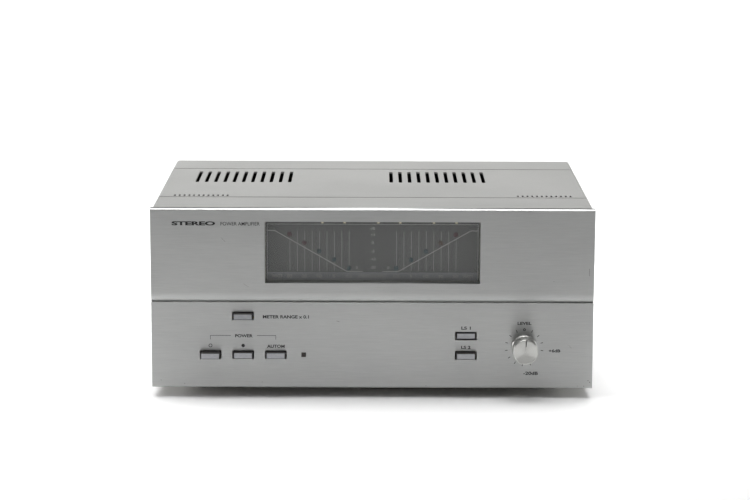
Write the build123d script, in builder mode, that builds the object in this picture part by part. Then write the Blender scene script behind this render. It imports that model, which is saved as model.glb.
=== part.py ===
from build123d import *
import os
from math import cos, radians, sin

os.makedirs("parts", exist_ok=True)

# Frame: +X to the right seen from the front, +Y towards the rear, +Z up.
# The origin is on the surface under the feet, centred under the whole unit.

# ------------------------------------------------------------------ overall size
width = 270.0
front_height = 111.4
foot_height = 6.0
body_depth = 197.0  # front face of the panel to the back of the cover
knob_reach = 13.8  # knob ahead of the front face
fin_reach = 18.0  # heatsink fins behind the cover

front_y = (knob_reach - body_depth - fin_reach) / 2
rear_y = front_y + body_depth
bottom_z = foot_height
top_z = bottom_z + front_height

# ------------------------------------------------------------------ sheets and casing
sheet = 1.2
panel_thickness = 4.5
panel_back = front_y + panel_thickness
frame_front = front_y + 6.0
frame_back = frame_front + sheet
cover_thickness = 1.2
cover_width = 269.4
cover_top = top_z - 0.5
cover_bottom = bottom_z + 2.0
cover_front = panel_back + 0.3
cover_inside = cover_width / 2 - cover_thickness
rear_out = rear_y - cover_thickness  # outer face of the rear panel
rear_in = rear_out - sheet
tray_bottom = bottom_z + 1.0
tray_floor = tray_bottom + sheet
tray_width = 2 * cover_inside - 0.6
tray_height = 12.0
tray_depth = rear_in - frame_back
tray_mid_y = (rear_in + frame_back) / 2
foot_x = 105.0
foot_y = 68.0
foot_centres = [(-foot_x, -foot_y), (foot_x, -foot_y), (-foot_x, foot_y), (foot_x, foot_y)]

# ------------------------------------------------------------------ front panel features
edge_radius = 1.6
low_edge_radius = 1.2
groove_top = bottom_z + 53.65
groove_bottom = bottom_z + 53.5
groove_depth = 1.7
groove_lip_height = 5.5  # the upper lip curves back over this height
groove_lip_depth = 1.6
groove_low_radius = 0.4
window_width = 131.0
window_height = 38.0
window_clearance = 0.3  # between the window cut-out and what shows through it
meter_z = bottom_z + 84.4
row_low = bottom_z + 20.7
row_pitch = 12.1
row_middle = row_low + row_pitch
row_high = row_low + 2 * row_pitch
power_pitch = 20.0
power_on_x = -79.0
speaker_x = 57.3
slot_width = 13.4
slot_height = 5.3
cut_out_corner = 0.4
knob_x = 93.0
knob_z = bottom_z + 25.8
shaft_hole_radius = 3.5
nut_pocket_radius = 7.5
nut_pocket_depth = 2.5
lamp_x = -42.0
lamp_size = 2.7
lamp_hole = lamp_size + 0.3
boss_radius = 3.5
boss_thread_depth = 4.5

# ------------------------------------------------------------------ buttons and their switches
cap_width = 12.0
cap_height = 4.2
cap_bevel = 0.6
cap_tail = 9.5  # cap behind the front face
stem_width = 5.0
stem_height = 2.6
stem_in_cap = 4.0
stem_end = 34.0
switch_front = front_y + 22.0
switch_length = 32.0
switch_width = 11.0
switch_height = 8.6
switch_cavity = 18.0
stem_room = 0.6
shoulder_width = 8.0
shoulder_height = 3.8
shoulder_thickness = 1.5
switch_pin_length = 1.5
interlock_front = switch_front + 6.0
interlock_depth = 6.0
interlock_height = 2.0
yoke_thickness = 1.6
bracket_foot = 6.0
bracket_margin = 9.0  # from a switch's middle to the bracket's side
bracket_half_height = 5.0

# name, x, z, reach of the cap ahead of the front face at rest
buttons = [
    ("power_off", power_on_x - power_pitch, row_low, 4.6),
    ("power_on", power_on_x, row_low, 3.0),
    ("power_auto", power_on_x + power_pitch, row_low, 3.0),
    ("meter_range", power_on_x, row_high, 3.0),
    ("speaker_1", speaker_x, row_middle, 0.2),
    ("speaker_2", speaker_x, row_low, 3.4),
]
button_centres = [(x, z) for name, x, z, reach in buttons]

# low x, high x, low z, high z of each switch bracket
switch_groups = {
    "power": (
        power_on_x - power_pitch - bracket_margin,
        power_on_x + power_pitch + bracket_margin - 0.5,
        row_low - bracket_half_height,
        row_low + bracket_half_height,
    ),
    "range": (
        power_on_x - bracket_margin,
        power_on_x + bracket_margin,
        row_high - bracket_half_height,
        row_high + bracket_half_height,
    ),
    "speaker": (
        speaker_x - bracket_margin,
        speaker_x + bracket_margin,
        row_low - bracket_half_height,
        row_middle + bracket_half_height,
    ),
}

# ------------------------------------------------------------------ screws
screw_radius = 1.45
screw_hole = 1.55
screw_head_radius = 2.8
screw_head_height = 1.8
countersink_radius = 2.6
countersink_angle = 42
side_screws = [(y, tray_floor + 7.0) for y in (-60.0, 60.0)]
panel_screws = [(x, bottom_z + z) for x in (-122.0, 122.0) for z in (18.0, 46.0, 100.0)]
bracket_screws = []
for low_x, high_x, low_z, high_z in switch_groups.values():
    middle_z = (low_z + high_z) / 2
    bracket_screws += [(low_x - bracket_foot / 2, middle_z), (high_x + bracket_foot / 2, middle_z)]
housing_screws = [(x, meter_z + z) for x in (-72.0, 72.0) for z in (-12.0, 12.0)]


def across(y):
    """A plane across the unit at y: +X to the right, +Z up, its normal towards the front."""
    return Plane.XZ.offset(-y)


def add_screws(plane, centres, shank, side=1):
    """Add pan head screws to the part: heads on the plane, on its normal's side or the other."""
    with BuildSketch(plane) as heads:
        with Locations(*centres):
            Circle(screw_head_radius)
    extrude(heads.sketch, amount=side * screw_head_height)
    with BuildSketch(plane.offset(side * screw_head_height)) as crosses:
        with Locations(*centres):
            Rectangle(3.4, 0.7)
            Rectangle(0.7, 3.4)
    extrude(crosses.sketch, amount=-side * 1.0, mode=Mode.SUBTRACT)
    with BuildSketch(plane) as shanks:
        with Locations(*centres):
            Circle(screw_radius)
    extrude(shanks.sketch, amount=-side * shank)


# ================================================================== front panel
# A thick extrusion with rounded top and bottom edges. The groove's upper lip curves back gently,
# so that the panel looks like two stacked units.
with BuildPart() as front_panel:
    with BuildSketch(Plane.YZ) as profile:
        with BuildLine():
            lip_start = (front_y, groove_top + groove_lip_height)
            lip_end = (front_y + groove_lip_depth, groove_top)
            TangentArc(lip_start, lip_end, tangent=(0, -1))
            Polyline(
                lip_end,
                (front_y + groove_depth, groove_top),
                (front_y + groove_depth, groove_bottom),
                (front_y, groove_bottom),
                (front_y, bottom_z),
                (panel_back, bottom_z),
                (panel_back, top_z),
                (front_y, top_z),
                lip_start,
            )
        make_face()
        for corner_z, radius in (
            (top_z, edge_radius),
            (groove_bottom, groove_low_radius),
            (bottom_z, low_edge_radius),
        ):
            fillet(profile.vertices().sort_by_distance((front_y, corner_z))[0], radius)
    extrude(amount=width / 2, both=True)
    # bosses that carry the front frame
    with BuildSketch(across(panel_back)):
        with Locations(*panel_screws):
            Circle(boss_radius)
    extrude(amount=-(frame_front - panel_back))
    with BuildSketch(across(frame_front)):
        with Locations(*panel_screws):
            Circle(screw_hole)
    extrude(amount=boss_thread_depth, mode=Mode.SUBTRACT)
    # openings for the meter window, the buttons, the power lamp and the level shaft
    with BuildSketch(across(front_y)):
        with Locations((0, meter_z)):
            RectangleRounded(window_width, window_height, cut_out_corner)
        with Locations(*button_centres):
            RectangleRounded(slot_width, slot_height, cut_out_corner)
        with Locations((lamp_x, row_low)):
            Rectangle(lamp_hole, lamp_hole)
        with Locations((knob_x, knob_z)):
            Circle(shaft_hole_radius)
    extrude(amount=-panel_thickness, mode=Mode.SUBTRACT)
    # pocket for the potentiometer's nut
    with BuildSketch(across(panel_back)):
        with Locations((knob_x, knob_z)):
            Circle(nut_pocket_radius)
    extrude(amount=nut_pocket_depth, mode=Mode.SUBTRACT)

front_panel.part.label = "front_panel"
export_step(front_panel.part, "parts/front_panel.step")

# ================================================================== front frame
# Sheet steel plate behind the panel, with flanges at its sides and top.
frame_low = tray_bottom
frame_high = cover_top - cover_thickness - 1.0
frame_half = cover_inside - 0.7
frame_flange = 12.0
frame_side_low = bottom_z + 16.0  # the side flanges end above the tray's flange
frame_mid_z = (frame_low + frame_high) / 2

with BuildPart() as front_frame:
    with BuildSketch(across(frame_front)):
        with Locations((0, frame_mid_z)):
            Rectangle(2 * frame_half, frame_high - frame_low)
    extrude(amount=-sheet)
    with BuildSketch(across(frame_back)):
        for side in (-1, 1):
            with Locations((side * (frame_half - sheet / 2), (frame_high + frame_side_low) / 2)):
                Rectangle(sheet, frame_high - frame_side_low)
        with Locations((0, frame_high - sheet / 2)):
            Rectangle(2 * frame_half, sheet)
    extrude(amount=-frame_flange)
    with BuildSketch(across(frame_front)):
        with Locations((0, meter_z)):
            Rectangle(window_width - 2 * window_clearance, window_height - 2 * window_clearance)
        with Locations(*button_centres):
            Rectangle(slot_width + 1.6, slot_height + 1.5)
        with Locations((lamp_x, row_low)):
            Rectangle(lamp_hole, lamp_hole)
        with Locations((knob_x, knob_z)):
            Circle(shaft_hole_radius + 0.1)
        with Locations(*panel_screws, *bracket_screws, *housing_screws):
            Circle(screw_hole)
    extrude(amount=-sheet, mode=Mode.SUBTRACT)

front_frame.part.label = "front_frame"
export_step(front_frame.part, "parts/front_frame.step")

# ================================================================== meter window
# Smoked pane: a flange held between panel and frame, and a block that fills the cut-out,
# a little low in it, so that a dark gap shows along its top.
pane_half = 64.8
pane_low = meter_z - window_height / 2 + 0.2
pane_high = meter_z + window_height / 2 - 1.1
pane_recess = 0.8
pane_edge = 0.3
pane_flange_width = 138.0
pane_flange_height = 44.0

with BuildPart() as meter_window:
    with BuildSketch(across(panel_back)):
        with Locations((0, meter_z)):
            RectangleRounded(pane_flange_width, pane_flange_height, 1.0)
    extrude(amount=-(frame_front - panel_back))
    with BuildSketch(across(front_y + pane_recess)):
        with Locations((0, (pane_low + pane_high) / 2)):
            Rectangle(2 * pane_half, pane_high - pane_low)
    extrude(amount=-(panel_thickness - pane_recess))
    chamfer(meter_window.faces().sort_by(Axis.Y)[0].edges(), pane_edge)

meter_window.part.label = "meter_window"
export_step(meter_window.part, "parts/meter_window.step")

# small clips in the gap above the pane
clip_places = [-30.5, -17.0, 3.5, 16.8, 37.2, 50.9]
clip_width = 1.3
clip_height = 0.9
clip_front = front_y + 1.4
clip_length = 2.4

with BuildPart() as window_clips:
    with BuildSketch(across(clip_front)):
        with Locations(*[(x, pane_high + clip_height / 2) for x in clip_places]):
            Rectangle(clip_width, clip_height)
    extrude(amount=-clip_length)

window_clips.part.label = "window_clips"
export_step(window_clips.part, "parts/window_clips.step")

# ================================================================== meter
# An open box behind the frame that holds the scale plate, the lamps and the driver board.
housing_wall = 1.2
housing_width = 134.0
housing_height = 42.0
housing_depth = 13.0
housing_ear_width = 156.0
housing_ear_height = 30.0
housing_ear_thickness = 2.0
post_size = 8.0
post_pitch_x = 124.0
post_pitch_z = 32.0
cable_slot_width = 24.0
cable_slot_height = 5.0
cable_slot_z = meter_z - 14.0
plate_front = frame_back + 0.2
plate_width = 131.0
plate_height = 39.0
plate_thickness = 0.6
plate_back = plate_front + plate_thickness
board_thickness = 1.6
meter_board_front = plate_back + 5.4
meter_board_width = 130.0
meter_board_height = 38.0
chip_length = 20.0
chip_width = 6.4
chip_height = 3.0
chip_places = [(-28.0, meter_z - 10.0), (28.0, meter_z - 10.0)]
lamp_radius = 1.5
lamp_proud = 0.4  # lamp tips ahead of the scale plate
lamp_length = 4.6
lead_size = 0.5
lead_half_pitch = 1.0
lead_hole = 0.6
lamp_pitch_x = 9.06
lamp_inner_x = 14.45
lamp_low_z = bottom_z + 73.45
lamp_pitch_z = 5.22

# the meter's lamps from the inner, low end of each row to its outer, high end
lamp_places = {side: [] for side in (-1, 1)}
for side in (-1, 1):
    for step in range(5):
        place_x = side * (lamp_inner_x + step * lamp_pitch_x)
        lamp_places[side].append((place_x, lamp_low_z + step * lamp_pitch_z))
lamp_groups = {
    "meter_leds_green": lamp_places[-1][:3] + lamp_places[1][:3],
    "meter_leds_orange": lamp_places[1][3:4],
    "meter_leds_red": lamp_places[-1][3:] + lamp_places[1][4:],
}
all_lamps = lamp_places[-1] + lamp_places[1]

with BuildPart() as meter_housing:
    with BuildSketch(across(frame_back)):
        with Locations((0, meter_z)):
            Rectangle(housing_width, housing_height)
            Rectangle(housing_ear_width, housing_ear_height)
    extrude(amount=-housing_ear_thickness)
    with BuildSketch(across(frame_back)):
        with Locations((0, meter_z)):
            Rectangle(housing_width, housing_height)
    extrude(amount=-housing_depth)
    with BuildSketch(across(frame_back)):
        with Locations((0, meter_z)):
            Rectangle(housing_width - 2 * housing_wall, housing_height - 2 * housing_wall)
    extrude(amount=-(housing_depth - housing_wall), mode=Mode.SUBTRACT)
    # posts at the corners: the scale plate lies on their ends and the board on a step
    with BuildSketch(across(plate_back)):
        with Locations((0, meter_z)):
            with GridLocations(post_pitch_x, post_pitch_z, 2, 2):
                Rectangle(post_size, post_size)
    extrude(amount=-(meter_board_front - plate_back))
    with BuildSketch(across(frame_back)):
        with Locations(*housing_screws):
            Circle(screw_hole)
    extrude(amount=-housing_ear_thickness, mode=Mode.SUBTRACT)
    with BuildSketch(across(frame_back + housing_depth)):
        with Locations((0, cable_slot_z)):
            Rectangle(cable_slot_width, cable_slot_height)
    extrude(amount=housing_wall, mode=Mode.SUBTRACT)

meter_housing.part.label = "meter_housing"
export_step(meter_housing.part, "parts/meter_housing.step")

with BuildPart() as meter_scale_plate:
    with BuildSketch(across(plate_front)):
        with Locations((0, meter_z)):
            Rectangle(plate_width, plate_height)
        with Locations(*all_lamps):
            Circle(lamp_radius + 0.05, mode=Mode.SUBTRACT)
    extrude(amount=-plate_thickness)

meter_scale_plate.part.label = "meter_scale_plate"
export_step(meter_scale_plate.part, "parts/meter_scale_plate.step")

for group_name, places in lamp_groups.items():
    with BuildPart() as meter_leds:
        with BuildSketch(across(plate_front - lamp_proud)):
            with Locations(*places):
                Circle(lamp_radius)
        extrude(amount=-lamp_length)
        fillet(meter_leds.faces().group_by(Axis.Y)[0].edges(), 0.5)
        lead_start = plate_front - lamp_proud + lamp_length
        with BuildSketch(across(lead_start)):
            for lead in (-lead_half_pitch, lead_half_pitch):
                with Locations(*[(x + lead, z) for x, z in places]):
                    Rectangle(lead_size, lead_size)
        extrude(amount=-(meter_board_front + board_thickness + 1.0 - lead_start))
    meter_leds.part.label = group_name
    export_step(meter_leds.part, f"parts/{group_name}.step")

with BuildPart() as meter_board:
    with BuildSketch(across(meter_board_front)):
        with Locations((0, meter_z)):
            Rectangle(meter_board_width, meter_board_height)
        for lead in (-lead_half_pitch, lead_half_pitch):
            with Locations(*[(x + lead, z) for x, z in all_lamps]):
                Rectangle(lead_hole, lead_hole, mode=Mode.SUBTRACT)
    extrude(amount=-board_thickness)
    # two driver chips on its rear side, in the corners that the lamp rows leave free
    with BuildSketch(across(meter_board_front + board_thickness)):
        with Locations(*chip_places):
            Rectangle(chip_length, chip_width)
    extrude(amount=-chip_height)

meter_board.part.label = "meter_board"
export_step(meter_board.part, "parts/meter_board.step")

# ================================================================== power lamp
power_lamp_front = front_y - 0.2
power_lamp_length = 9.0
power_lamp_leads = 6.0
power_lead_half_pitch = 0.8

with BuildPart() as power_led:
    with BuildSketch(across(power_lamp_front)):
        with Locations((lamp_x, row_low)):
            Rectangle(lamp_size, lamp_size)
    extrude(amount=-power_lamp_length)
    chamfer(power_led.faces().sort_by(Axis.Y)[0].edges(), 0.2)
    with BuildSketch(across(power_lamp_front + power_lamp_length)):
        for lead in (-power_lead_half_pitch, power_lead_half_pitch):
            with Locations((lamp_x + lead, row_low)):
                Rectangle(lead_size, lead_size)
    extrude(amount=-power_lamp_leads)

power_led.part.label = "power_led"
export_step(power_led.part, "parts/power_led.step")

# ================================================================== button caps and plungers
for name, x, z, reach in buttons:
    with BuildPart() as cap:
        with BuildSketch(across(front_y - reach)):
            with Locations((x, z)):
                Rectangle(cap_width, cap_height)
        extrude(amount=-(reach + cap_tail))
        chamfer(cap.faces().sort_by(Axis.Y)[0].edges(), cap_bevel)
        with BuildSketch(across(front_y + cap_tail)):
            with Locations((x, z)):
                Rectangle(stem_width + 0.1, stem_height + 0.1)
        extrude(amount=stem_in_cap, mode=Mode.SUBTRACT)
    cap.part.label = name + "_cap"
    export_step(cap.part, f"parts/{name}_cap.step")

    with BuildPart() as plunger:
        with BuildSketch(across(front_y + cap_tail - stem_in_cap)):
            with Locations((x, z)):
                Rectangle(stem_width, stem_height)
        extrude(amount=-(stem_end - cap_tail + stem_in_cap))
        chamfer(plunger.faces().sort_by(Axis.Y)[-1].edges(), 0.5)
        # shoulder behind the cap
        with BuildSketch(across(front_y + cap_tail)):
            with Locations((x, z)):
                Rectangle(shoulder_width, shoulder_height)
        extrude(amount=-shoulder_thickness)
    plunger.part.label = name + "_plunger"
    export_step(plunger.part, f"parts/{name}_plunger.step")


# ================================================================== switches
def add_switches(centres):
    """Add switch bodies to the part, each with a cavity for its plunger and six pins below."""
    with BuildSketch(across(switch_front)) as bodies:
        with Locations(*centres):
            Rectangle(switch_width, switch_height)
    extrude(bodies.sketch, amount=-switch_length)
    with BuildSketch(across(switch_front)) as cavities:
        with Locations(*centres):
            Rectangle(stem_width + stem_room, stem_height + stem_room)
    extrude(cavities.sketch, amount=-switch_cavity, mode=Mode.SUBTRACT)
    for centre_x, centre_z in centres:
        with BuildSketch(Plane.XY.offset(centre_z - switch_height / 2)) as pins:
            with Locations((centre_x, switch_front + switch_length / 2)):
                with GridLocations(6.0, 9.0, 2, 3):
                    Rectangle(0.8, 0.4)
        extrude(pins.sketch, amount=-switch_pin_length)


with BuildPart() as power_switch_bank:
    add_switches(button_centres[0:3])
    # interlock bar that releases the other two keys
    with BuildSketch(across(interlock_front)):
        with Locations((power_on_x, row_low + (switch_height + interlock_height) / 2)):
            Rectangle(2 * power_pitch + switch_width, interlock_height)
    extrude(amount=-interlock_depth)

power_switch_bank.part.label = "power_switch_bank"
export_step(power_switch_bank.part, "parts/power_switch_bank.step")

with BuildPart() as meter_range_switch:
    add_switches(button_centres[3:4])

meter_range_switch.part.label = "meter_range_switch"
export_step(meter_range_switch.part, "parts/meter_range_switch.step")

with BuildPart() as speaker_switch_bank:
    add_switches(button_centres[4:6])
    # yoke that ties the two bodies together at their rear
    with BuildSketch(across(switch_front + switch_length)):
        with Locations((speaker_x, (row_low + row_middle) / 2)):
            Rectangle(switch_width, row_pitch + switch_height)
    extrude(amount=-yoke_thickness)

speaker_switch_bank.part.label = "speaker_switch_bank"
export_step(speaker_switch_bank.part, "parts/speaker_switch_bank.step")

# U-shaped brackets that hang the switches on the front frame
with BuildPart() as switch_brackets:
    for low_x, high_x, low_z, high_z in switch_groups.values():
        middle_x = (low_x + high_x) / 2
        middle_z = (low_z + high_z) / 2
        with BuildSketch(across(switch_front - sheet)):
            with Locations((middle_x, middle_z)):
                Rectangle(high_x - low_x, high_z - low_z)
        extrude(amount=-sheet)
        with BuildSketch(across(frame_back)):
            with Locations((low_x + sheet / 2, middle_z), (high_x - sheet / 2, middle_z)):
                Rectangle(sheet, high_z - low_z)
        extrude(amount=-(switch_front - sheet - frame_back))
        with BuildSketch(across(frame_back)):
            for foot_middle in (low_x - bracket_foot / 2, high_x + bracket_foot / 2):
                with Locations((foot_middle, middle_z)):
                    Rectangle(bracket_foot, high_z - low_z)
        extrude(amount=-sheet)
    with BuildSketch(across(switch_front)):
        with Locations(*button_centres):
            Rectangle(stem_width + 1.0, stem_height + 1.0)
    extrude(amount=sheet, mode=Mode.SUBTRACT)
    with BuildSketch(across(frame_back)):
        with Locations(*bracket_screws):
            Circle(screw_hole)
    extrude(amount=-sheet, mode=Mode.SUBTRACT)

switch_brackets.part.label = "switch_brackets"
export_step(switch_brackets.part, "parts/switch_brackets.step")

# ================================================================== level control
knob_radius = 7.6
collar_radius = 7.95
knob_gap = 0.4
pointer_angle = 5.0  # clockwise from straight up
shaft_radius = 3.0
shaft_front = front_y - 10.5
bush_front = front_y + 3.0
shaft_in_pot = 9.0
shaft_clearance = 0.05
bush_radius = 3.45
pot_front = frame_back
pot_width = 17.0
pot_height = 18.0
pot_depth = 14.0
tag_length = 5.0
nut_across_flats = 10.0
nut_height = 2.0
washer_radius = 6.2
washer_thickness = 0.4
neck_radius = knob_radius - 0.5
dish_depth = 0.25
rim_width = 0.9
pointer_width = 0.6
pointer_length = 4.6
pointer_depth = 0.7

# The knob's outline in the plane that holds its axis: a collar, a fine groove, and the grip.
with BuildPart() as level_knob:
    with BuildSketch(Plane.YZ.offset(knob_x)) as outline:
        with BuildLine():
            Polyline(
                (front_y - knob_gap, knob_z),
                (front_y - knob_gap, knob_z + collar_radius),
                (front_y - 3.4, knob_z + collar_radius),
                (front_y - 3.7, knob_z + neck_radius),
                (front_y - 4.3, knob_z + neck_radius),
                (front_y - 4.6, knob_z + knob_radius),
                (front_y - knob_reach, knob_z + knob_radius),
                (front_y - knob_reach, knob_z + knob_radius - rim_width),
                (front_y - knob_reach + dish_depth, knob_z + knob_radius - rim_width - 0.3),
                (front_y - knob_reach + dish_depth, knob_z),
                close=True,
            )
        make_face()
        rim = (front_y - knob_reach, knob_z + knob_radius)
        chamfer(outline.vertices().sort_by_distance(rim)[0], 0.35)
    revolve(axis=Axis((knob_x, 0, knob_z), (0, 1, 0)))
    with BuildSketch(across(front_y - knob_gap)):
        with Locations((knob_x, knob_z)):
            Circle(shaft_radius + 0.02)
    extrude(amount=front_y - knob_gap - shaft_front, mode=Mode.SUBTRACT)
    # pointer groove from the rim inwards
    pointer_middle = knob_radius - 2.15
    with BuildSketch(across(front_y - knob_reach)):
        with Locations(
            Location(
                (
                    knob_x + pointer_middle * sin(radians(pointer_angle)),
                    knob_z + pointer_middle * cos(radians(pointer_angle)),
                ),
                -pointer_angle,
            )
        ):
            Rectangle(pointer_width, pointer_length)
    extrude(amount=-pointer_depth, mode=Mode.SUBTRACT)

level_knob.part.label = "level_knob"
export_step(level_knob.part, "parts/level_knob.step")

with BuildPart() as level_shaft:
    with BuildSketch(across(shaft_front)):
        with Locations((knob_x, knob_z)):
            Circle(shaft_radius)
    extrude(amount=-(pot_front + shaft_in_pot - shaft_front))

level_shaft.part.label = "level_shaft"
export_step(level_shaft.part, "parts/level_shaft.step")

with BuildPart() as level_pot:
    with BuildSketch(across(pot_front)):
        with Locations((knob_x, knob_z)):
            RectangleRounded(pot_width, pot_height, 2.0)
    extrude(amount=-pot_depth)
    with BuildSketch(across(bush_front)):
        with Locations((knob_x, knob_z)):
            Circle(bush_radius)
    extrude(amount=-(pot_front - bush_front))
    with BuildSketch(across(bush_front)):
        with Locations((knob_x, knob_z)):
            Circle(shaft_radius + shaft_clearance)
    extrude(amount=-(pot_front + shaft_in_pot + 1.0 - bush_front), mode=Mode.SUBTRACT)
    # two rows of three solder tags
    with BuildSketch(Plane.XY.offset(knob_z - pot_height / 2)):
        with Locations((knob_x, pot_front + pot_depth / 2)):
            with GridLocations(5.0, 6.0, 3, 2):
                Rectangle(1.2, 0.4)
    extrude(amount=-tag_length)

level_pot.part.label = "level_pot"
export_step(level_pot.part, "parts/level_pot.step")

with BuildPart() as level_nut:
    with BuildSketch(across(frame_front - washer_thickness)):
        with Locations((knob_x, knob_z)):
            Circle(washer_radius)
    extrude(amount=-washer_thickness)
    with BuildSketch(across(frame_front - washer_thickness - nut_height)):
        with Locations((knob_x, knob_z)):
            RegularPolygon(nut_across_flats / 2, 6, major_radius=False)
    extrude(amount=-nut_height)
    with BuildSketch(across(frame_front)):
        with Locations((knob_x, knob_z)):
            Circle(bush_radius + 0.03)
    extrude(amount=washer_thickness + nut_height + 0.6, mode=Mode.SUBTRACT)

level_nut.part.label = "level_nut"
export_step(level_nut.part, "parts/level_nut.step")

# ================================================================== rear panel layout
heatsink_x = 42.0
heatsink_width = 168.0
heatsink_low = bottom_z + 8.0
heatsink_high = heatsink_low + 58.0
heatsink_opening = (134.0, 30.0)  # cut-out in the rear panel for the transistors
transistor_places = [heatsink_x + step * 36.0 for step in (-1.5, -0.5, 0.5, 1.5)]
transistor_low = bottom_z + 21.0
transistor_width = 15.5
transistor_height = 20.0
socket_z = bottom_z + 86.0
phono_places = [(-44.0, socket_z), (-26.0, socket_z)]
din_place = (-74.0, socket_z)
speaker_places = [(x, socket_z) for x in (12.0, 42.0, 76.0, 106.0)]
flange_thickness = 1.6
inlet_x = -108.0
inlet_z = bottom_z + 26.0
fuse_x = -74.0
fuse_z = inlet_z
heatsink_screws = [
    (heatsink_x + x, z) for x in (-78.0, 78.0) for z in (heatsink_low + 14.0, heatsink_high - 8.0)
]
transistor_screws = [(x, transistor_low + 15.5) for x in transistor_places]
rear_edge_screws = [(x, bottom_z + 4.6) for x in (-120.0, -55.0, 55.0, 128.0)]
lip_low = cover_top - 10.0
lip_screws = [(x, lip_low + 4.5) for x in (-110.0, 0.0, 110.0)]
phono_barrel = 5.0
din_barrel = 8.2
speaker_barrel = 6.4
inlet_width = 20.0
inlet_height = 12.0
fuse_barrel = 6.2
barrel_room = 0.2

# ================================================================== chassis tray
tray_vents = [(-86.0, -2.0), (50.0, -10.0), (50.0, 34.0)]
tray_vent_length = 22.0
tray_vent_width = 2.6
transformer_x = -84.0
transformer_y = 4.0
bracket_half = 47.5
transformer_bolts = [
    (transformer_x + x, transformer_y + y) for x in (-43.6, 43.6) for y in (-15.0, 15.0)
]
amp_board_low_x = -32.0
amp_board_high_x = 128.0
amp_board_front = front_y + 62.0
amp_board_rear = rear_in - 0.6
amp_board_bottom = bottom_z + 14.0
amp_board_top = amp_board_bottom + board_thickness
standoff_places = [
    (x, y) for x in (amp_board_low_x + 6.0, 48.0, amp_board_high_x - 6.0)
    for y in (amp_board_front + 6.0, amp_board_rear - 14.0)
]

with BuildPart() as chassis_tray:
    with BuildSketch(Plane.XY.offset(tray_bottom)):
        with Locations((0, tray_mid_y)):
            Rectangle(tray_width, tray_depth)
    extrude(amount=tray_height)
    with BuildSketch(Plane.XY.offset(tray_floor)):
        with Locations((0, tray_mid_y)):
            Rectangle(tray_width - 2 * sheet, tray_depth - 2 * sheet)
    extrude(amount=tray_height, mode=Mode.SUBTRACT)
    with BuildSketch(Plane.XY.offset(tray_bottom)):
        for vent_x, vent_y in tray_vents:
            with Locations((vent_x, vent_y)):
                with GridLocations(6.0, 0.0, 9, 1):
                    SlotOverall(tray_vent_length, tray_vent_width, rotation=90)
        with Locations(*foot_centres, *transformer_bolts):
            Circle(screw_hole)
    extrude(amount=sheet, mode=Mode.SUBTRACT)
    # holes in the side flanges for the cover screws
    with BuildSketch(Plane.YZ):
        with Locations(*side_screws):
            Circle(screw_hole)
    extrude(amount=width / 2, both=True, mode=Mode.SUBTRACT)
    with BuildSketch(across(rear_in)):
        with Locations(*rear_edge_screws):
            Circle(screw_hole)
    extrude(amount=sheet, mode=Mode.SUBTRACT)

chassis_tray.part.label = "chassis_tray"
export_step(chassis_tray.part, "parts/chassis_tray.step")

# ================================================================== rear panel
with BuildPart() as rear_panel:
    with BuildSketch(across(rear_out)):
        rear_panel_high = cover_top - cover_thickness - 0.5
        with Locations((0, (tray_bottom + rear_panel_high) / 2)):
            Rectangle(tray_width, rear_panel_high - tray_bottom)
        with Locations((heatsink_x, transistor_low + 11.0)):
            Rectangle(*heatsink_opening, mode=Mode.SUBTRACT)
        with Locations(*phono_places):
            Circle(phono_barrel + barrel_room, mode=Mode.SUBTRACT)
        with Locations(din_place):
            Circle(din_barrel + barrel_room, mode=Mode.SUBTRACT)
        with Locations(*speaker_places):
            Circle(speaker_barrel + barrel_room, mode=Mode.SUBTRACT)
        with Locations((inlet_x, inlet_z)):
            RectangleRounded(
                inlet_width + 2 * barrel_room, inlet_height + 2 * barrel_room, 1.0, mode=Mode.SUBTRACT
            )
        with Locations((fuse_x, fuse_z)):
            Circle(fuse_barrel + barrel_room, mode=Mode.SUBTRACT)
        with Locations(*heatsink_screws, *rear_edge_screws, *lip_screws):
            Circle(screw_hole, mode=Mode.SUBTRACT)
    extrude(amount=sheet)

rear_panel.part.label = "rear_panel"
export_step(rear_panel.part, "parts/rear_panel.step")

# ================================================================== top cover
# A folded sheet: top, two sides, and a lip turned down over the rear panel.
bend_radius = 2.4
bead_depth = 0.5
bead_width = 1.6
bead_places = [front_y + 46.0, rear_y - 36.0]
slot_pitch = 3.0
slots_in_row = 12
short_slot = (5.0, 1.3)
vent_slot = (44.0, 2.4)
vent_pitch = 6.0
vents_in_field = 11
vent_places = [(-transformer_x / 2, 26.0), (transformer_x, 26.0)]
slot_row_x = 107.5
slot_row_y = front_y + 52.0

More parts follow.
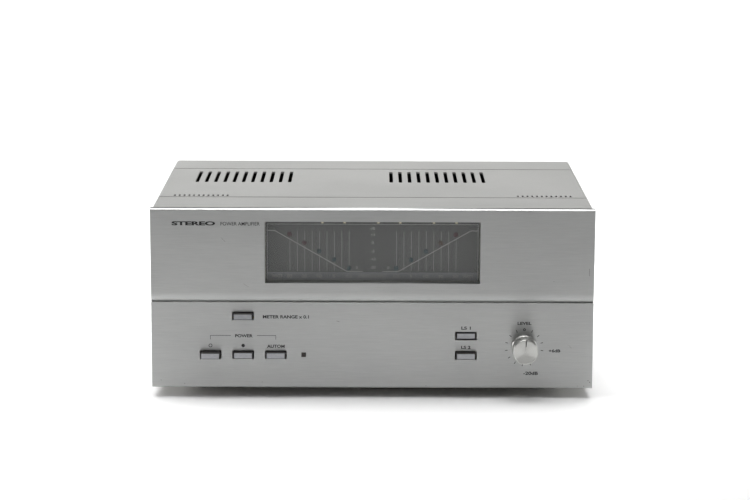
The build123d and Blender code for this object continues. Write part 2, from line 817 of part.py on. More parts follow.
with BuildPart() as top_cover:
    with BuildSketch(across(rear_y)) as shell_outline:
        with Locations((0, (cover_top + cover_bottom) / 2)):
            Rectangle(cover_width, cover_top - cover_bottom)
        fillet(shell_outline.vertices().group_by(Axis.Y)[-1], bend_radius)
    extrude(amount=rear_y - cover_front)
    with BuildSketch(across(rear_out)) as hollow:
        with Locations((0, (cover_top - cover_thickness + cover_bottom) / 2)):
            Rectangle(2 * cover_inside, cover_top - cover_thickness - cover_bottom)
        fillet(hollow.vertices().group_by(Axis.Y)[-1], bend_radius - cover_thickness)
    extrude(amount=rear_out - cover_front, mode=Mode.SUBTRACT)
    with BuildSketch(across(rear_y)):
        with Locations((0, (lip_low + cover_bottom) / 2)):
            Rectangle(2 * cover_inside, lip_low - cover_bottom)
    extrude(amount=cover_thickness, mode=Mode.SUBTRACT)
    # two shallow beads pressed across the top
    with BuildSketch(Plane.YZ):
        for bead_y in bead_places:
            with Locations((bead_y, cover_top)):
                Rectangle(bead_width, 2 * bead_depth)
    extrude(amount=width / 2, both=True, mode=Mode.SUBTRACT)
    # a row of short slots on each side behind the front bead, and a vent field over the power stage
    with BuildSketch(Plane.XY.offset(cover_top - 2 * cover_thickness)):
        with Locations((-slot_row_x, slot_row_y), (slot_row_x, slot_row_y)):
            with GridLocations(slot_pitch, 0.0, slots_in_row, 1):
                SlotOverall(*short_slot, rotation=90)
        with Locations(*vent_places):
            with GridLocations(vent_pitch, 0.0, vents_in_field, 1):
                SlotOverall(*vent_slot, rotation=90)
    extrude(amount=3 * cover_thickness, mode=Mode.SUBTRACT)
    # countersunk holes in the sides, plain holes in the rear lip
    for side in (-1, 1):
        with BuildSketch(Plane.YZ.offset(side * cover_width / 2)):
            with Locations(*side_screws):
                Circle(countersink_radius + 0.1)
        extrude(amount=-side * cover_thickness, taper=countersink_angle, mode=Mode.SUBTRACT)
    with BuildSketch(across(rear_y)):
        with Locations(*lip_screws):
            Circle(screw_hole)
    extrude(amount=cover_thickness, mode=Mode.SUBTRACT)

top_cover.part.label = "top_cover"
export_step(top_cover.part, "parts/top_cover.step")

# ================================================================== feet
foot_names = ["foot_front_left", "foot_front_right", "foot_rear_left", "foot_rear_right"]
foot_radius = 10.0
foot_taper = 8
foot_well_radius = 4.0
foot_screw_floor = 3.0
foot_shank = tray_floor + 2.0 - foot_screw_floor

for name, centre in zip(foot_names, foot_centres):
    with BuildPart() as foot:
        with BuildSketch(Plane.XY.offset(tray_bottom)):
            with Locations(centre):
                Circle(foot_radius)
        extrude(amount=-tray_bottom, taper=foot_taper)
        fillet(foot.faces().sort_by(Axis.Z)[0].edges(), 0.8)
        with BuildSketch(Plane.XY):
            with Locations(centre):
                Circle(foot_well_radius)
        extrude(amount=foot_screw_floor, mode=Mode.SUBTRACT)
        with BuildSketch(Plane.XY):
            with Locations(centre):
                Circle(screw_hole)
        extrude(amount=tray_bottom, mode=Mode.SUBTRACT)
    foot.part.label = name
    export_step(foot.part, f"parts/{name}.step")

with BuildPart() as foot_screws:
    add_screws(Plane.XY.offset(foot_screw_floor), foot_centres, foot_shank, side=-1)

foot_screws.part.label = "foot_screws"
export_step(foot_screws.part, "parts/foot_screws.step")

# ================================================================== casing screws
with BuildPart() as cover_screws:
    add_screws(across(rear_y), lip_screws, 6.0, side=-1)
    # countersunk screws in the sides, flush with the sheet
    for side in (-1, 1):
        with BuildSketch(Plane.YZ.offset(side * cover_width / 2)):
            with Locations(*side_screws):
                Circle(countersink_radius)
        extrude(amount=-side * cover_thickness, taper=countersink_angle)
        with BuildSketch(Plane.YZ.offset(side * (cover_inside + 0.2))):
            with Locations(*side_screws):
                Circle(screw_radius)
        extrude(amount=-side * 5.0)
        with BuildSketch(Plane.YZ.offset(side * cover_width / 2)):
            with Locations(*side_screws):
                Rectangle(3.2, 0.7)
                Rectangle(0.7, 3.2)
        extrude(amount=-side * 0.8, mode=Mode.SUBTRACT)

cover_screws.part.label = "cover_screws"
export_step(cover_screws.part, "parts/cover_screws.step")

with BuildPart() as rear_panel_screws:
    add_screws(across(rear_out), rear_edge_screws, 6.0, side=-1)

rear_panel_screws.part.label = "rear_panel_screws"
export_step(rear_panel_screws.part, "parts/rear_panel_screws.step")

# ================================================================== heatsink
base_thickness = 4.0
fin_count = 24
fin_pitch = 7.2
fin_thickness = 1.8
fin_back = rear_y + fin_reach

with BuildPart() as heatsink:
    with BuildSketch(Plane.XY.offset(heatsink_low)) as comb:
        with Locations((heatsink_x, rear_out + base_thickness / 2)):
            Rectangle(heatsink_width, base_thickness)
        with Locations((heatsink_x, (rear_out + fin_back) / 2)):
            with GridLocations(fin_pitch, 0.0, fin_count, 1):
                Rectangle(fin_thickness, fin_back - rear_out)
        fillet(comb.vertices().group_by(Axis.Y)[-1], 0.6)
    extrude(amount=heatsink_high - heatsink_low)
    with BuildSketch(across(rear_out)):
        with Locations(*heatsink_screws, *transistor_screws):
            Circle(screw_hole)
    extrude(amount=-3.0, mode=Mode.SUBTRACT)

heatsink.part.label = "heatsink"
export_step(heatsink.part, "parts/heatsink.step")

# ================================================================== output transistors
transistor_back = rear_out
transistor_thickness = 4.9
transistor_lead_pitch = 5.4
lead_y = transistor_back - 2.4

with BuildPart() as output_transistors:
    with BuildSketch(across(transistor_back)):
        with Locations(*[(x, transistor_low + transistor_height / 2) for x in transistor_places]):
            Rectangle(transistor_width, transistor_height)
    extrude(amount=transistor_thickness)
    chamfer(output_transistors.faces().group_by(Axis.Y)[0].edges(), 0.6)
    with BuildSketch(Plane.XY.offset(transistor_low)):
        with Locations(*[(x, lead_y) for x in transistor_places]):
            with GridLocations(transistor_lead_pitch, 0.0, 3, 1):
                Rectangle(1.2, 0.6)
    extrude(amount=-(transistor_low - amp_board_bottom + 1.0))
    with BuildSketch(across(transistor_back)):
        with Locations(*transistor_screws):
            Circle(screw_hole)
    extrude(amount=transistor_thickness, mode=Mode.SUBTRACT)

output_transistors.part.label = "output_transistors"
export_step(output_transistors.part, "parts/output_transistors.step")

# ================================================================== sockets on the rear panel
# Phono sockets: one moulded flange with two plated sleeves.
phono_sleeve = 4.15
phono_length = 8.0
phono_bore = 1.65
phono_bore_depth = 9.0
barrel_depth = 9.0  # behind the rear panel
rivet_radius = 1.5
rivet_height = 0.6
flange_back = rear_out + flange_thickness
phono_middle = ((phono_places[0][0] + phono_places[1][0]) / 2, socket_z)

with BuildPart() as phono_sockets:
    with BuildSketch(across(rear_out)):
        with Locations(phono_middle):
            RectangleRounded(38.0, 16.0, 2.0)
    extrude(amount=-flange_thickness)
    with BuildSketch(across(rear_in - barrel_depth)):
        with Locations(*phono_places):
            Circle(phono_barrel)
    extrude(amount=-(flange_back - rear_in + barrel_depth))
    with BuildSketch(across(flange_back)):
        with Locations(*phono_places):
            Circle(phono_sleeve)
    extrude(amount=-phono_length)
    with BuildSketch(across(flange_back + phono_length)):
        with Locations(*phono_places):
            Circle(3.4)
            Circle(2.3, mode=Mode.SUBTRACT)
    extrude(amount=1.0, mode=Mode.SUBTRACT)
    with BuildSketch(across(flange_back + phono_length)):
        with Locations(*phono_places):
            Circle(phono_bore)
    extrude(amount=phono_bore_depth, mode=Mode.SUBTRACT)

phono_sockets.part.label = "phono_sockets"
export_step(phono_sockets.part, "parts/phono_sockets.step")

# Five-pole input socket: a ring gap for the plug's shell, round a core with five contacts
# in a half circle.
din_contact_radius = 3.45
din_depth = 8.5

with BuildPart() as din_input_socket:
    with BuildSketch(across(rear_out)):
        with Locations(din_place):
            RectangleRounded(29.0, 19.0, 3.0)
    extrude(amount=-flange_thickness)
    with BuildSketch(across(rear_in - barrel_depth)):
        with Locations(din_place):
            Circle(din_barrel)
    extrude(amount=-(flange_back - rear_in + barrel_depth))
    with BuildSketch(across(flange_back)):
        with Locations(din_place):
            Circle(6.9)
            Circle(6.1, mode=Mode.SUBTRACT)
        with Locations(din_place):
            with PolarLocations(din_contact_radius, 5, start_angle=180, angular_range=180):
                Circle(0.8)
        with Locations((din_place[0], din_place[1] + 5.6)):
            Rectangle(2.4, 1.6)
    extrude(amount=din_depth, mode=Mode.SUBTRACT)
    with BuildSketch(across(rear_out)):
        with Locations((din_place[0] - 11.5, socket_z), (din_place[0] + 11.5, socket_z)):
            Circle(rivet_radius)
    extrude(amount=-(flange_thickness + rivet_height))

din_input_socket.part.label = "din_input_socket"
export_step(din_input_socket.part, "parts/din_input_socket.step")

# Two-pole loudspeaker sockets: a flat slot in the middle and a round hole beside it.
speaker_face = flange_back + 1.0
speaker_hole_depth = 8.0

with BuildPart() as speaker_sockets:
    with BuildSketch(across(rear_out)):
        with Locations(*speaker_places):
            RectangleRounded(26.0, 16.0, 3.0)
    extrude(amount=-flange_thickness)
    with BuildSketch(across(rear_in - barrel_depth)):
        with Locations(*speaker_places):
            Circle(speaker_barrel)
    extrude(amount=-(speaker_face - rear_in + barrel_depth))
    with BuildSketch(across(speaker_face)):
        with Locations(*speaker_places):
            Rectangle(4.6, 1.4)
        with Locations(*[(x, z - 3.6) for x, z in speaker_places]):
            Circle(1.5)
    extrude(amount=speaker_hole_depth, mode=Mode.SUBTRACT)
    with BuildSketch(across(rear_out)):
        for rivet_x in (-10.0, 10.0):
            with Locations(*[(x + rivet_x, z) for x, z in speaker_places]):
                Circle(rivet_radius)
    extrude(amount=-(flange_thickness + rivet_height))

speaker_sockets.part.label = "speaker_sockets"
export_step(speaker_sockets.part, "parts/speaker_sockets.step")

# Two-pin mains inlet for a detachable cord.
inlet_pin_x = 4.3
inlet_pin_radius = 1.2
inlet_pin_length = 9.0
inlet_cavity = 12.0
inlet_body = 18.0
inlet_flange = 2.0
inlet_face = rear_out + inlet_flange

with BuildPart() as mains_inlet:
    with BuildSketch(across(rear_out)):
        with Locations((inlet_x, inlet_z)):
            RectangleRounded(34.0, 16.0, 3.0)
    extrude(amount=-inlet_flange)
    with BuildSketch(across(inlet_face)):
        with Locations((inlet_x, inlet_z)):
            RectangleRounded(inlet_width, inlet_height, 1.0)
    extrude(amount=inlet_body)
    with BuildSketch(across(inlet_face)):
        with Locations((inlet_x, inlet_z)):
            SlotOverall(16.4, 8.4)
    extrude(amount=inlet_cavity, mode=Mode.SUBTRACT)
    with BuildSketch(across(inlet_face - inlet_cavity)):
        with Locations((inlet_x - inlet_pin_x, inlet_z), (inlet_x + inlet_pin_x, inlet_z)):
            Circle(inlet_pin_radius)
    extrude(amount=-inlet_pin_length)
    with BuildSketch(across(inlet_face)):
        with Locations((inlet_x - 13.0, inlet_z), (inlet_x + 13.0, inlet_z)):
            Circle(1.6)
    extrude(amount=-0.7)

mains_inlet.part.label = "mains_inlet"
export_step(mains_inlet.part, "parts/mains_inlet.step")

fuse_body_length = 26.0
fuse_collar_radius = 8.4
fuse_collar_height = 2.0
fuse_cap_radius = 6.6
fuse_cap_height = 7.0

with BuildPart() as mains_fuse_holder:
    with BuildSketch(across(rear_in - fuse_body_length)):
        with Locations((fuse_x, fuse_z)):
            Circle(fuse_barrel)
    extrude(amount=-(rear_out - rear_in + fuse_body_length))
    with BuildSketch(across(rear_out)):
        with Locations((fuse_x, fuse_z)):
            Circle(fuse_collar_radius)
    extrude(amount=-fuse_collar_height)
    with BuildSketch(across(rear_out + fuse_collar_height)):
        with Locations((fuse_x, fuse_z)):
            Circle(fuse_cap_radius)
    extrude(amount=-fuse_cap_height)
    fillet(mains_fuse_holder.faces().sort_by(Axis.Y)[-1].edges(), 0.8)
    with BuildSketch(across(rear_out + fuse_collar_height + fuse_cap_height)):
        with Locations((fuse_x, fuse_z)):
            Rectangle(9.0, 1.4)
    extrude(amount=1.8, mode=Mode.SUBTRACT)

mains_fuse_holder.part.label = "mains_fuse_holder"
export_step(mains_fuse_holder.part, "parts/mains_fuse_holder.step")

# ================================================================== mains transformer
core_width = 78.0
core_height = 65.0
core_depth = 36.0
leg_width = 26.0
core_window = 13.0
core_window_height = 39.0
core_low = tray_floor + sheet
core_z = core_low + core_height / 2
coil_reach = 12.0
coil_width = leg_width + 2 * core_window
bobbin_flange = 1.6
bobbin_low = core_z - core_window_height / 2 + 0.2
bobbin_height = core_window_height - 0.4
strap_length = 40.0
strap_height = 20.0
strap_offset = core_width / 2 + sheet / 2 + 0.1

with BuildPart() as transformer_core:
    with BuildSketch(across(transformer_y + core_depth / 2)):
        with Locations((transformer_x, core_z)):
            Rectangle(core_width, core_height)
        with Locations((transformer_x, core_z)):
            with GridLocations(leg_width + core_window, 0.0, 2, 1):
                Rectangle(core_window, core_window_height, mode=Mode.SUBTRACT)
    extrude(amount=core_depth)

transformer_core.part.label = "transformer_core"
export_step(transformer_core.part, "parts/transformer_core.step")

with BuildPart() as transformer_winding:
    # bobbin flanges above and below the coil
    with BuildSketch(Plane.XY.offset(bobbin_low)):
        with Locations((transformer_x, transformer_y)):
            Rectangle(coil_width - 0.4, core_depth + 2 * coil_reach + 2.0)
    extrude(amount=bobbin_height)
    with BuildSketch(Plane.XY.offset(bobbin_low + bobbin_flange)):
        with Locations((transformer_x, transformer_y)):
            Rectangle(2 * coil_width, 2 * (core_depth + 2 * coil_reach))
            RectangleRounded(coil_width - 2.0, core_depth + 2 * coil_reach, 5.0, mode=Mode.SUBTRACT)
    extrude(amount=bobbin_height - 2 * bobbin_flange, mode=Mode.SUBTRACT)
    with BuildSketch(Plane.XY.offset(core_low)):
        with Locations((transformer_x, transformer_y)):
            Rectangle(leg_width + 0.2, core_depth + 0.2)
    extrude(amount=core_height, mode=Mode.SUBTRACT)

transformer_winding.part.label = "transformer_winding"
export_step(transformer_winding.part, "parts/transformer_winding.step")

with BuildPart() as transformer_bracket:
    with BuildSketch(across(transformer_y + strap_length / 2)):
        with Locations((transformer_x, tray_floor + sheet / 2)):
            Rectangle(2 * bracket_half, sheet)
        for side in (-1, 1):
            with Locations((transformer_x + side * strap_offset, tray_floor + strap_height / 2)):
                Rectangle(sheet, strap_height)
    extrude(amount=strap_length)
    with BuildSketch(Plane.XY.offset(tray_floor)):
        with Locations(*transformer_bolts):
            Circle(screw_hole)
    extrude(amount=sheet, mode=Mode.SUBTRACT)

transformer_bracket.part.label = "transformer_bracket"
export_step(transformer_bracket.part, "parts/transformer_bracket.step")

# ================================================================== amplifier board
amp_board_mid_x = (amp_board_low_x + amp_board_high_x) / 2
amp_board_mid_y = (amp_board_front + amp_board_rear) / 2
capacitor_radius = 15.0
capacitor_height = 48.0
capacitor_places = [(0.0, amp_board_front + 24.0), (36.0, amp_board_front + 24.0)]
rectifier_place = (72.0, amp_board_front + 18.0)
rectifier_size = (22.0, 4.6, 18.0)
rectifier_leads = 3.0
relay_place = (104.0, amp_board_front + 22.0)
relay_size = (28.0, 20.0, 25.0)
small_capacitor_radius = 4.0
small_capacitor_height = 11.0
fuse_tube_radius = 2.5
fuse_tube_length = 20.0
fuse_axis_height = 5.5
fuse_clip_size = (5.0, 6.4, 5.0)
resistor_radius = 2.0
resistor_length = 10.0
resistor_axis_height = 2.6
standoff_radius = 3.2
small_capacitor_places = [(x, y) for x in (-14.0, 10.0, 58.0, 92.0) for y in (10.0, 26.0, 44.0)]
fuse_clip_places = [(34.0, 26.0), (34.0, 12.0)]
resistor_places = [(x, y) for x in (-2.0, 22.0, 46.0, 70.0, 106.0) for y in (62.0, 69.0)]

with BuildPart() as amplifier_board:
    with BuildSketch(Plane.XY.offset(amp_board_bottom)):
        with Locations((amp_board_mid_x, amp_board_mid_y)):
            Rectangle(amp_board_high_x - amp_board_low_x, amp_board_rear - amp_board_front)
        with Locations(*standoff_places):
            Circle(screw_hole, mode=Mode.SUBTRACT)
        with Locations(*[(x, lead_y) for x in transistor_places]):
            with GridLocations(transistor_lead_pitch, 0.0, 3, 1):
                Rectangle(1.4, 0.8, mode=Mode.SUBTRACT)
    extrude(amount=board_thickness)

amplifier_board.part.label = "amplifier_board"
export_step(amplifier_board.part, "parts/amplifier_board.step")

with BuildPart() as board_standoffs:
    with BuildSketch(Plane.XY.offset(tray_floor)):
        with Locations(*standoff_places):
            RegularPolygon(standoff_radius, 6)
    extrude(amount=amp_board_bottom - tray_floor)
    with BuildSketch(Plane.XY.offset(amp_board_bottom)):
        with Locations(*standoff_places):
            Circle(screw_hole)
    extrude(amount=-6.0, mode=Mode.SUBTRACT)

board_standoffs.part.label = "board_standoffs"
export_step(board_standoffs.part, "parts/board_standoffs.step")

with BuildPart() as reservoir_capacitors:
    with BuildSketch(Plane.XY.offset(amp_board_top)):
        with Locations(*capacitor_places):
            Circle(capacitor_radius)
    extrude(amount=capacitor_height)
    fillet(reservoir_capacitors.faces().group_by(Axis.Z)[-1].edges(), 1.5)
    # score marks on the can's top
    with BuildSketch(Plane.XY.offset(amp_board_top + capacitor_height)):
        with Locations(*capacitor_places):
            Rectangle(18.0, 0.8)
            Rectangle(0.8, 18.0)
    extrude(amount=-0.5, mode=Mode.SUBTRACT)

reservoir_capacitors.part.label = "reservoir_capacitors"
export_step(reservoir_capacitors.part, "parts/reservoir_capacitors.step")

with BuildPart() as bridge_rectifier:
    with BuildSketch(Plane.XY.offset(amp_board_top + rectifier_leads)):
        with Locations(rectifier_place):
            Rectangle(*rectifier_size[:2])
    extrude(amount=rectifier_size[2])
    chamfer(bridge_rectifier.edges().filter_by(Axis.Y).sort_by(Axis.Z)[-2:].sort_by(Axis.X)[0], 3.0)
    with BuildSketch(Plane.XY.offset(amp_board_top)):
        with Locations(rectifier_place):
            with GridLocations(5.0, 0.0, 4, 1):
                Rectangle(1.2, 0.8)
    extrude(amount=rectifier_leads)

bridge_rectifier.part.label = "bridge_rectifier"
export_step(bridge_rectifier.part, "parts/bridge_rectifier.step")

with BuildPart() as speaker_relay:
    with BuildSketch(Plane.XY.offset(amp_board_top)):
        with Locations(relay_place):
            Rectangle(*relay_size[:2])
    extrude(amount=relay_size[2])
    fillet(speaker_relay.edges().filter_by(Axis.Z), 1.2)
    chamfer(speaker_relay.faces().sort_by(Axis.Z)[-1].edges(), 0.8)

speaker_relay.part.label = "speaker_relay"
export_step(speaker_relay.part, "parts/speaker_relay.step")

with BuildPart() as small_capacitors:
    with BuildSketch(Plane.XY.offset(amp_board_top)):
        with Locations(*small_capacitor_places):
            Circle(small_capacitor_radius)
    extrude(amount=small_capacitor_height)
    fillet(small_capacitors.faces().group_by(Axis.Z)[-1].edges(), 0.6)

small_capacitors.part.label = "small_capacitors"
export_step(small_capacitors.part, "parts/small_capacitors.step")

# board fuses: a glass tube with end caps across two clips
with BuildPart() as board_fuses:
    for clip_x, clip_y in fuse_clip_places:
        with BuildSketch(Plane.YZ.offset(clip_x - fuse_tube_length / 2)):
            with Locations((clip_y, amp_board_top + fuse_axis_height)):
                Circle(fuse_tube_radius)
        extrude(amount=fuse_tube_length)
        with BuildSketch(Plane.XY.offset(amp_board_top)):
            with Locations((clip_x - 7.5, clip_y), (clip_x + 7.5, clip_y)):
                Rectangle(*fuse_clip_size[:2])
        extrude(amount=fuse_clip_size[2])

board_fuses.part.label = "board_fuses"
export_step(board_fuses.part, "parts/board_fuses.step")

with BuildPart() as resistors:
    for resistor_x, resistor_y in resistor_places:
        with BuildSketch(Plane.YZ.offset(resistor_x - resistor_length / 2)):
            with Locations((resistor_y, amp_board_top + resistor_axis_height)):
                Circle(resistor_radius)
        extrude(amount=resistor_length)
        with BuildSketch(Plane.XY.offset(amp_board_top)):
            with Locations((resistor_x - 4.0, resistor_y), (resistor_x + 4.0, resistor_y)):
                Rectangle(0.8, 0.8)
        extrude(amount=2.0)

resistors.part.label = "resistors"
export_step(resistors.part, "parts/resistors.step")

# ================================================================== inner screws
# Screws that hold the inner pieces: frame to panel, switches and meter to frame, transformer and
# board to tray, transistors and heatsink to each other and to the rear panel.
with BuildPart() as inner_screws:
    add_screws(across(frame_back), panel_screws, 5.0, side=-1)
    add_screws(across(frame_back + sheet), bracket_screws, 2.3, side=-1)
    add_screws(across(frame_back + 2.0), housing_screws, 3.1, side=-1)
    add_screws(Plane.XY.offset(tray_floor + sheet), transformer_bolts, 2.3)
    add_screws(Plane.XY.offset(amp_board_top), standoff_places, 6.0)
    add_screws(across(rear_in), heatsink_screws, 4.0)
    add_screws(across(transistor_back - transistor_thickness), transistor_screws, 7.6)

inner_screws.part.label = "inner_screws"
export_step(inner_screws.part, "parts/inner_screws.step")
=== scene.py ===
"""Looks of a stereo power amplifier: aluminium front, painted cover, power meter and rear heatsink."""

import math

import bmesh
import bpy
from mathutils import Matrix, Vector


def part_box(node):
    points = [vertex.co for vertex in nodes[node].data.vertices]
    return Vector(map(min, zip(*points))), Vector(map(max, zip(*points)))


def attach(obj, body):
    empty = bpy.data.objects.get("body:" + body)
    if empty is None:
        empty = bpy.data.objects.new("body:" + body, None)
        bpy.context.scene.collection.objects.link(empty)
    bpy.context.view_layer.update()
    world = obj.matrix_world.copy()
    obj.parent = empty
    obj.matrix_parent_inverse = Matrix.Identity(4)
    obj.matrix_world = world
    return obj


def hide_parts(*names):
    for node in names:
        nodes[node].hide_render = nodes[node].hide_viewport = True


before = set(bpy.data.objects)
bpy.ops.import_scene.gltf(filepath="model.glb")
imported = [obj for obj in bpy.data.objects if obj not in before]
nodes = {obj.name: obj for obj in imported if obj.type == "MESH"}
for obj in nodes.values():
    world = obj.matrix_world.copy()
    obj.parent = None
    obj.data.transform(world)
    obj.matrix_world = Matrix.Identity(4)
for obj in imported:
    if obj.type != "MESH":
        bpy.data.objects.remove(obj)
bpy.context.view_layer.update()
MM = 0.001

# ------------------------------------------------------------------ places read from the frame
panel_low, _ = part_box("front_panel")
front_y = panel_low.y
bottom_z = panel_low.z
plate_low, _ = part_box("meter_scale_plate")
shaft_low, shaft_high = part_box("level_shaft")
knob_centre = (shaft_low + shaft_high) / 2
_, rear_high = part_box("rear_panel")
rear_y = rear_high.y

PRINT_DEPTH = 0.03 * MM  # thickness of printed ink
INK_BLACK = (0.012, 0.012, 0.013)
MARK_DEPTH = 0.4 * PRINT_DEPTH  # thickness of the strip behind the figures and of wear marks


# ================================================================== mesh helpers
def add_mesh(name, bm, body="root"):
    """Turn a bmesh into a piece that rides on a body."""
    mesh = bpy.data.meshes.new(name)
    bmesh.ops.recalc_face_normals(bm, faces=bm.faces)
    bm.to_mesh(mesh)
    bm.free()
    piece = bpy.data.objects.new(name, mesh)
    bpy.context.scene.collection.objects.link(piece)
    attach(piece, body)
    return piece


def add_bar(bm, start, end, bar_width, y, thickness=PRINT_DEPTH):
    """Add a flat bar between two (x, z) points, standing a little ahead of the plane y."""
    a = Vector((start[0], start[1]))
    b = Vector((end[0], end[1]))
    along = (b - a).normalized()
    across = Vector((-along.y, along.x)) * bar_width / 2
    corners = [a + across, a - across, b - across, b + across]
    front = [bm.verts.new((p.x, y - thickness, p.y)) for p in corners]
    back = [bm.verts.new((p.x, y, p.y)) for p in corners]
    bm.faces.new(front)
    bm.faces.new(back[::-1])
    for i in range(4):
        j = (i + 1) % 4
        bm.faces.new((front[j], front[i], back[i], back[j]))


def add_disc(bm, centre, radius, y, hole=0.0, thickness=PRINT_DEPTH, steps=32):
    """Add a flat disc or ring at an (x, z) point, standing a little ahead of the plane y."""
    rings = []
    for r in (radius, hole):
        if r <= 0:
            continue
        for level in (y - thickness, y):
            rings.append(
                [
                    bm.verts.new(
                        (
                            centre[0] + r * math.cos(2 * math.pi * i / steps),
                            level,
                            centre[1] + r * math.sin(2 * math.pi * i / steps),
                        )
                    )
                    for i in range(steps)
                ]
            )
    outer_front, outer_back = rings[0], rings[1]
    for i in range(steps):
        j = (i + 1) % steps
        bm.faces.new((outer_front[i], outer_front[j], outer_back[j], outer_back[i]))
    if hole > 0:
        inner_front, inner_back = rings[2], rings[3]
        for i in range(steps):
            j = (i + 1) % steps
            bm.faces.new((inner_front[j], inner_front[i], inner_back[i], inner_back[j]))
            bm.faces.new((outer_front[j], outer_front[i], inner_front[i], inner_front[j]))
            bm.faces.new((outer_back[i], outer_back[j], inner_back[j], inner_back[i]))
    else:
        bm.faces.new(outer_front[::-1])
        bm.faces.new(outer_back)


def add_text(bm, words, x_low, x_high, z_low, z_high, y, weight=0.0, facing=1, thickness=PRINT_DEPTH):
    """Add lettering that fills a box of the plane y. facing is 1 for the front and -1 for the rear."""
    curve = bpy.data.curves.new("lettering", "FONT")
    curve.body = words
    curve.size = 1.0
    curve.extrude = 0.01
    curve.offset = weight
    curve.resolution_u = 6
    holder = bpy.data.objects.new("lettering", curve)
    bpy.context.scene.collection.objects.link(holder)
    bpy.context.view_layer.update()
    mesh = bpy.data.meshes.new_from_object(holder.evaluated_get(bpy.context.evaluated_depsgraph_get()))
    xs = [v.co.x for v in mesh.vertices]
    ys = [v.co.y for v in mesh.vertices]
    scale_x = (x_high - x_low) / (max(xs) - min(xs))
    scale_z = (z_high - z_low) / (max(ys) - min(ys))
    for v in mesh.vertices:
        x = (v.co.x - min(xs)) * scale_x
        place_x = x_low + x if facing > 0 else x_high - x
        depth = thickness * (0.5 + v.co.z / 0.02)
        v.co = (place_x, y - facing * depth, z_low + (v.co.y - min(ys)) * scale_z)
    if facing < 0:
        mesh.flip_normals()
    mesh.flip_normals()
    bm.from_mesh(mesh)
    bpy.data.objects.remove(holder)
    bpy.data.curves.remove(curve)
    bpy.data.meshes.remove(mesh)


def front_point(x, z):
    """A point of the front plane, from millimetres right of the middle and above the panel's lower edge."""
    return (x * MM, bottom_z + z * MM)


def middle_of(node):
    """Middle x and z of a CAD piece, in the millimetres that front_point takes."""
    low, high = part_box(node)
    middle = (low + high) / 2
    return (middle.x / MM, (middle.z - bottom_z) / MM)


# ================================================================== material helpers
def new_material(name, colour=(0.5, 0.5, 0.5), **values):
    """A Principled material. Values are set on the shader's own sockets."""
    made = bpy.data.materials.new(name)
    made.use_nodes = True
    shader = made.node_tree.nodes["Principled BSDF"]
    shader.inputs["Base Color"].default_value = (*colour, 1.0)
    for key, value in values.items():
        shader.inputs[key.replace("_", " ")].default_value = value
    return made, shader


def add_node(made, kind, inputs=None, **settings):
    """Add a node, set its properties, and set or link its inputs."""
    tree = made.node_tree
    new = tree.nodes.new(kind)
    for key, value in settings.items():
        setattr(new, key, value)
    for key, value in (inputs or {}).items():
        if isinstance(value, bpy.types.NodeSocket):
            tree.links.new(value, new.inputs[key])
        else:
            new.inputs[key].default_value = value
    return new


def stretched_noise(made, scale, detail=3.0, roughness=0.6, name_offset=0.0):
    """Noise over the object's own coordinates in metres, stretched by a scale along each axis."""
    coords = add_node(made, "ShaderNodeTexCoord")
    mapping = add_node(
        made,
        "ShaderNodeMapping",
        {
            "Vector": coords.outputs["Object"],
            "Scale": scale,
            "Location": (name_offset, name_offset, name_offset),
        },
    )
    noise = add_node(
        made,
        "ShaderNodeTexNoise",
        {"Vector": mapping.outputs["Vector"], "Scale": 1.0, "Detail": detail, "Roughness": roughness},
    )
    return noise.outputs["Fac"]


def remap(made, value, from_low, from_high, to_low, to_high):
    """A value moved from one range to another, clamped."""
    node = add_node(
        made,
        "ShaderNodeMapRange",
        {"Value": value, "From Min": from_low, "From Max": from_high, "To Min": to_low, "To Max": to_high},
    )
    return node.outputs["Result"]


def mix_colours(made, factor, dark, light):
    """A colour between two, by a factor."""
    node = add_node(made, "ShaderNodeMix", data_type="RGBA")
    made.node_tree.links.new(factor, node.inputs["Factor"])
    for socket, colour in ((node.inputs[6], dark), (node.inputs[7], light)):
        if isinstance(colour, bpy.types.NodeSocket):
            made.node_tree.links.new(colour, socket)
        else:
            socket.default_value = (*colour, 1.0)
    return node.outputs[2]


def multiply_colours(made, first, second):
    """The product of two colours."""
    node = add_node(made, "ShaderNodeMix", data_type="RGBA", blend_type="MULTIPLY")
    node.inputs["Factor"].default_value = 1.0
    made.node_tree.links.new(first, node.inputs[6])
    made.node_tree.links.new(second, node.inputs[7])
    return node.outputs[2]


def link(made, output, shader, key):
    """Link an output to one of the shader's sockets."""
    made.node_tree.links.new(output, shader.inputs[key])


def add_bump(made, shader, height, strength, distance):
    """Roughen a surface with a height."""
    bump = add_node(made, "ShaderNodeBump", {"Height": height, "Strength": strength, "Distance": distance})
    link(made, bump.outputs["Normal"], shader, "Normal")
    return bump


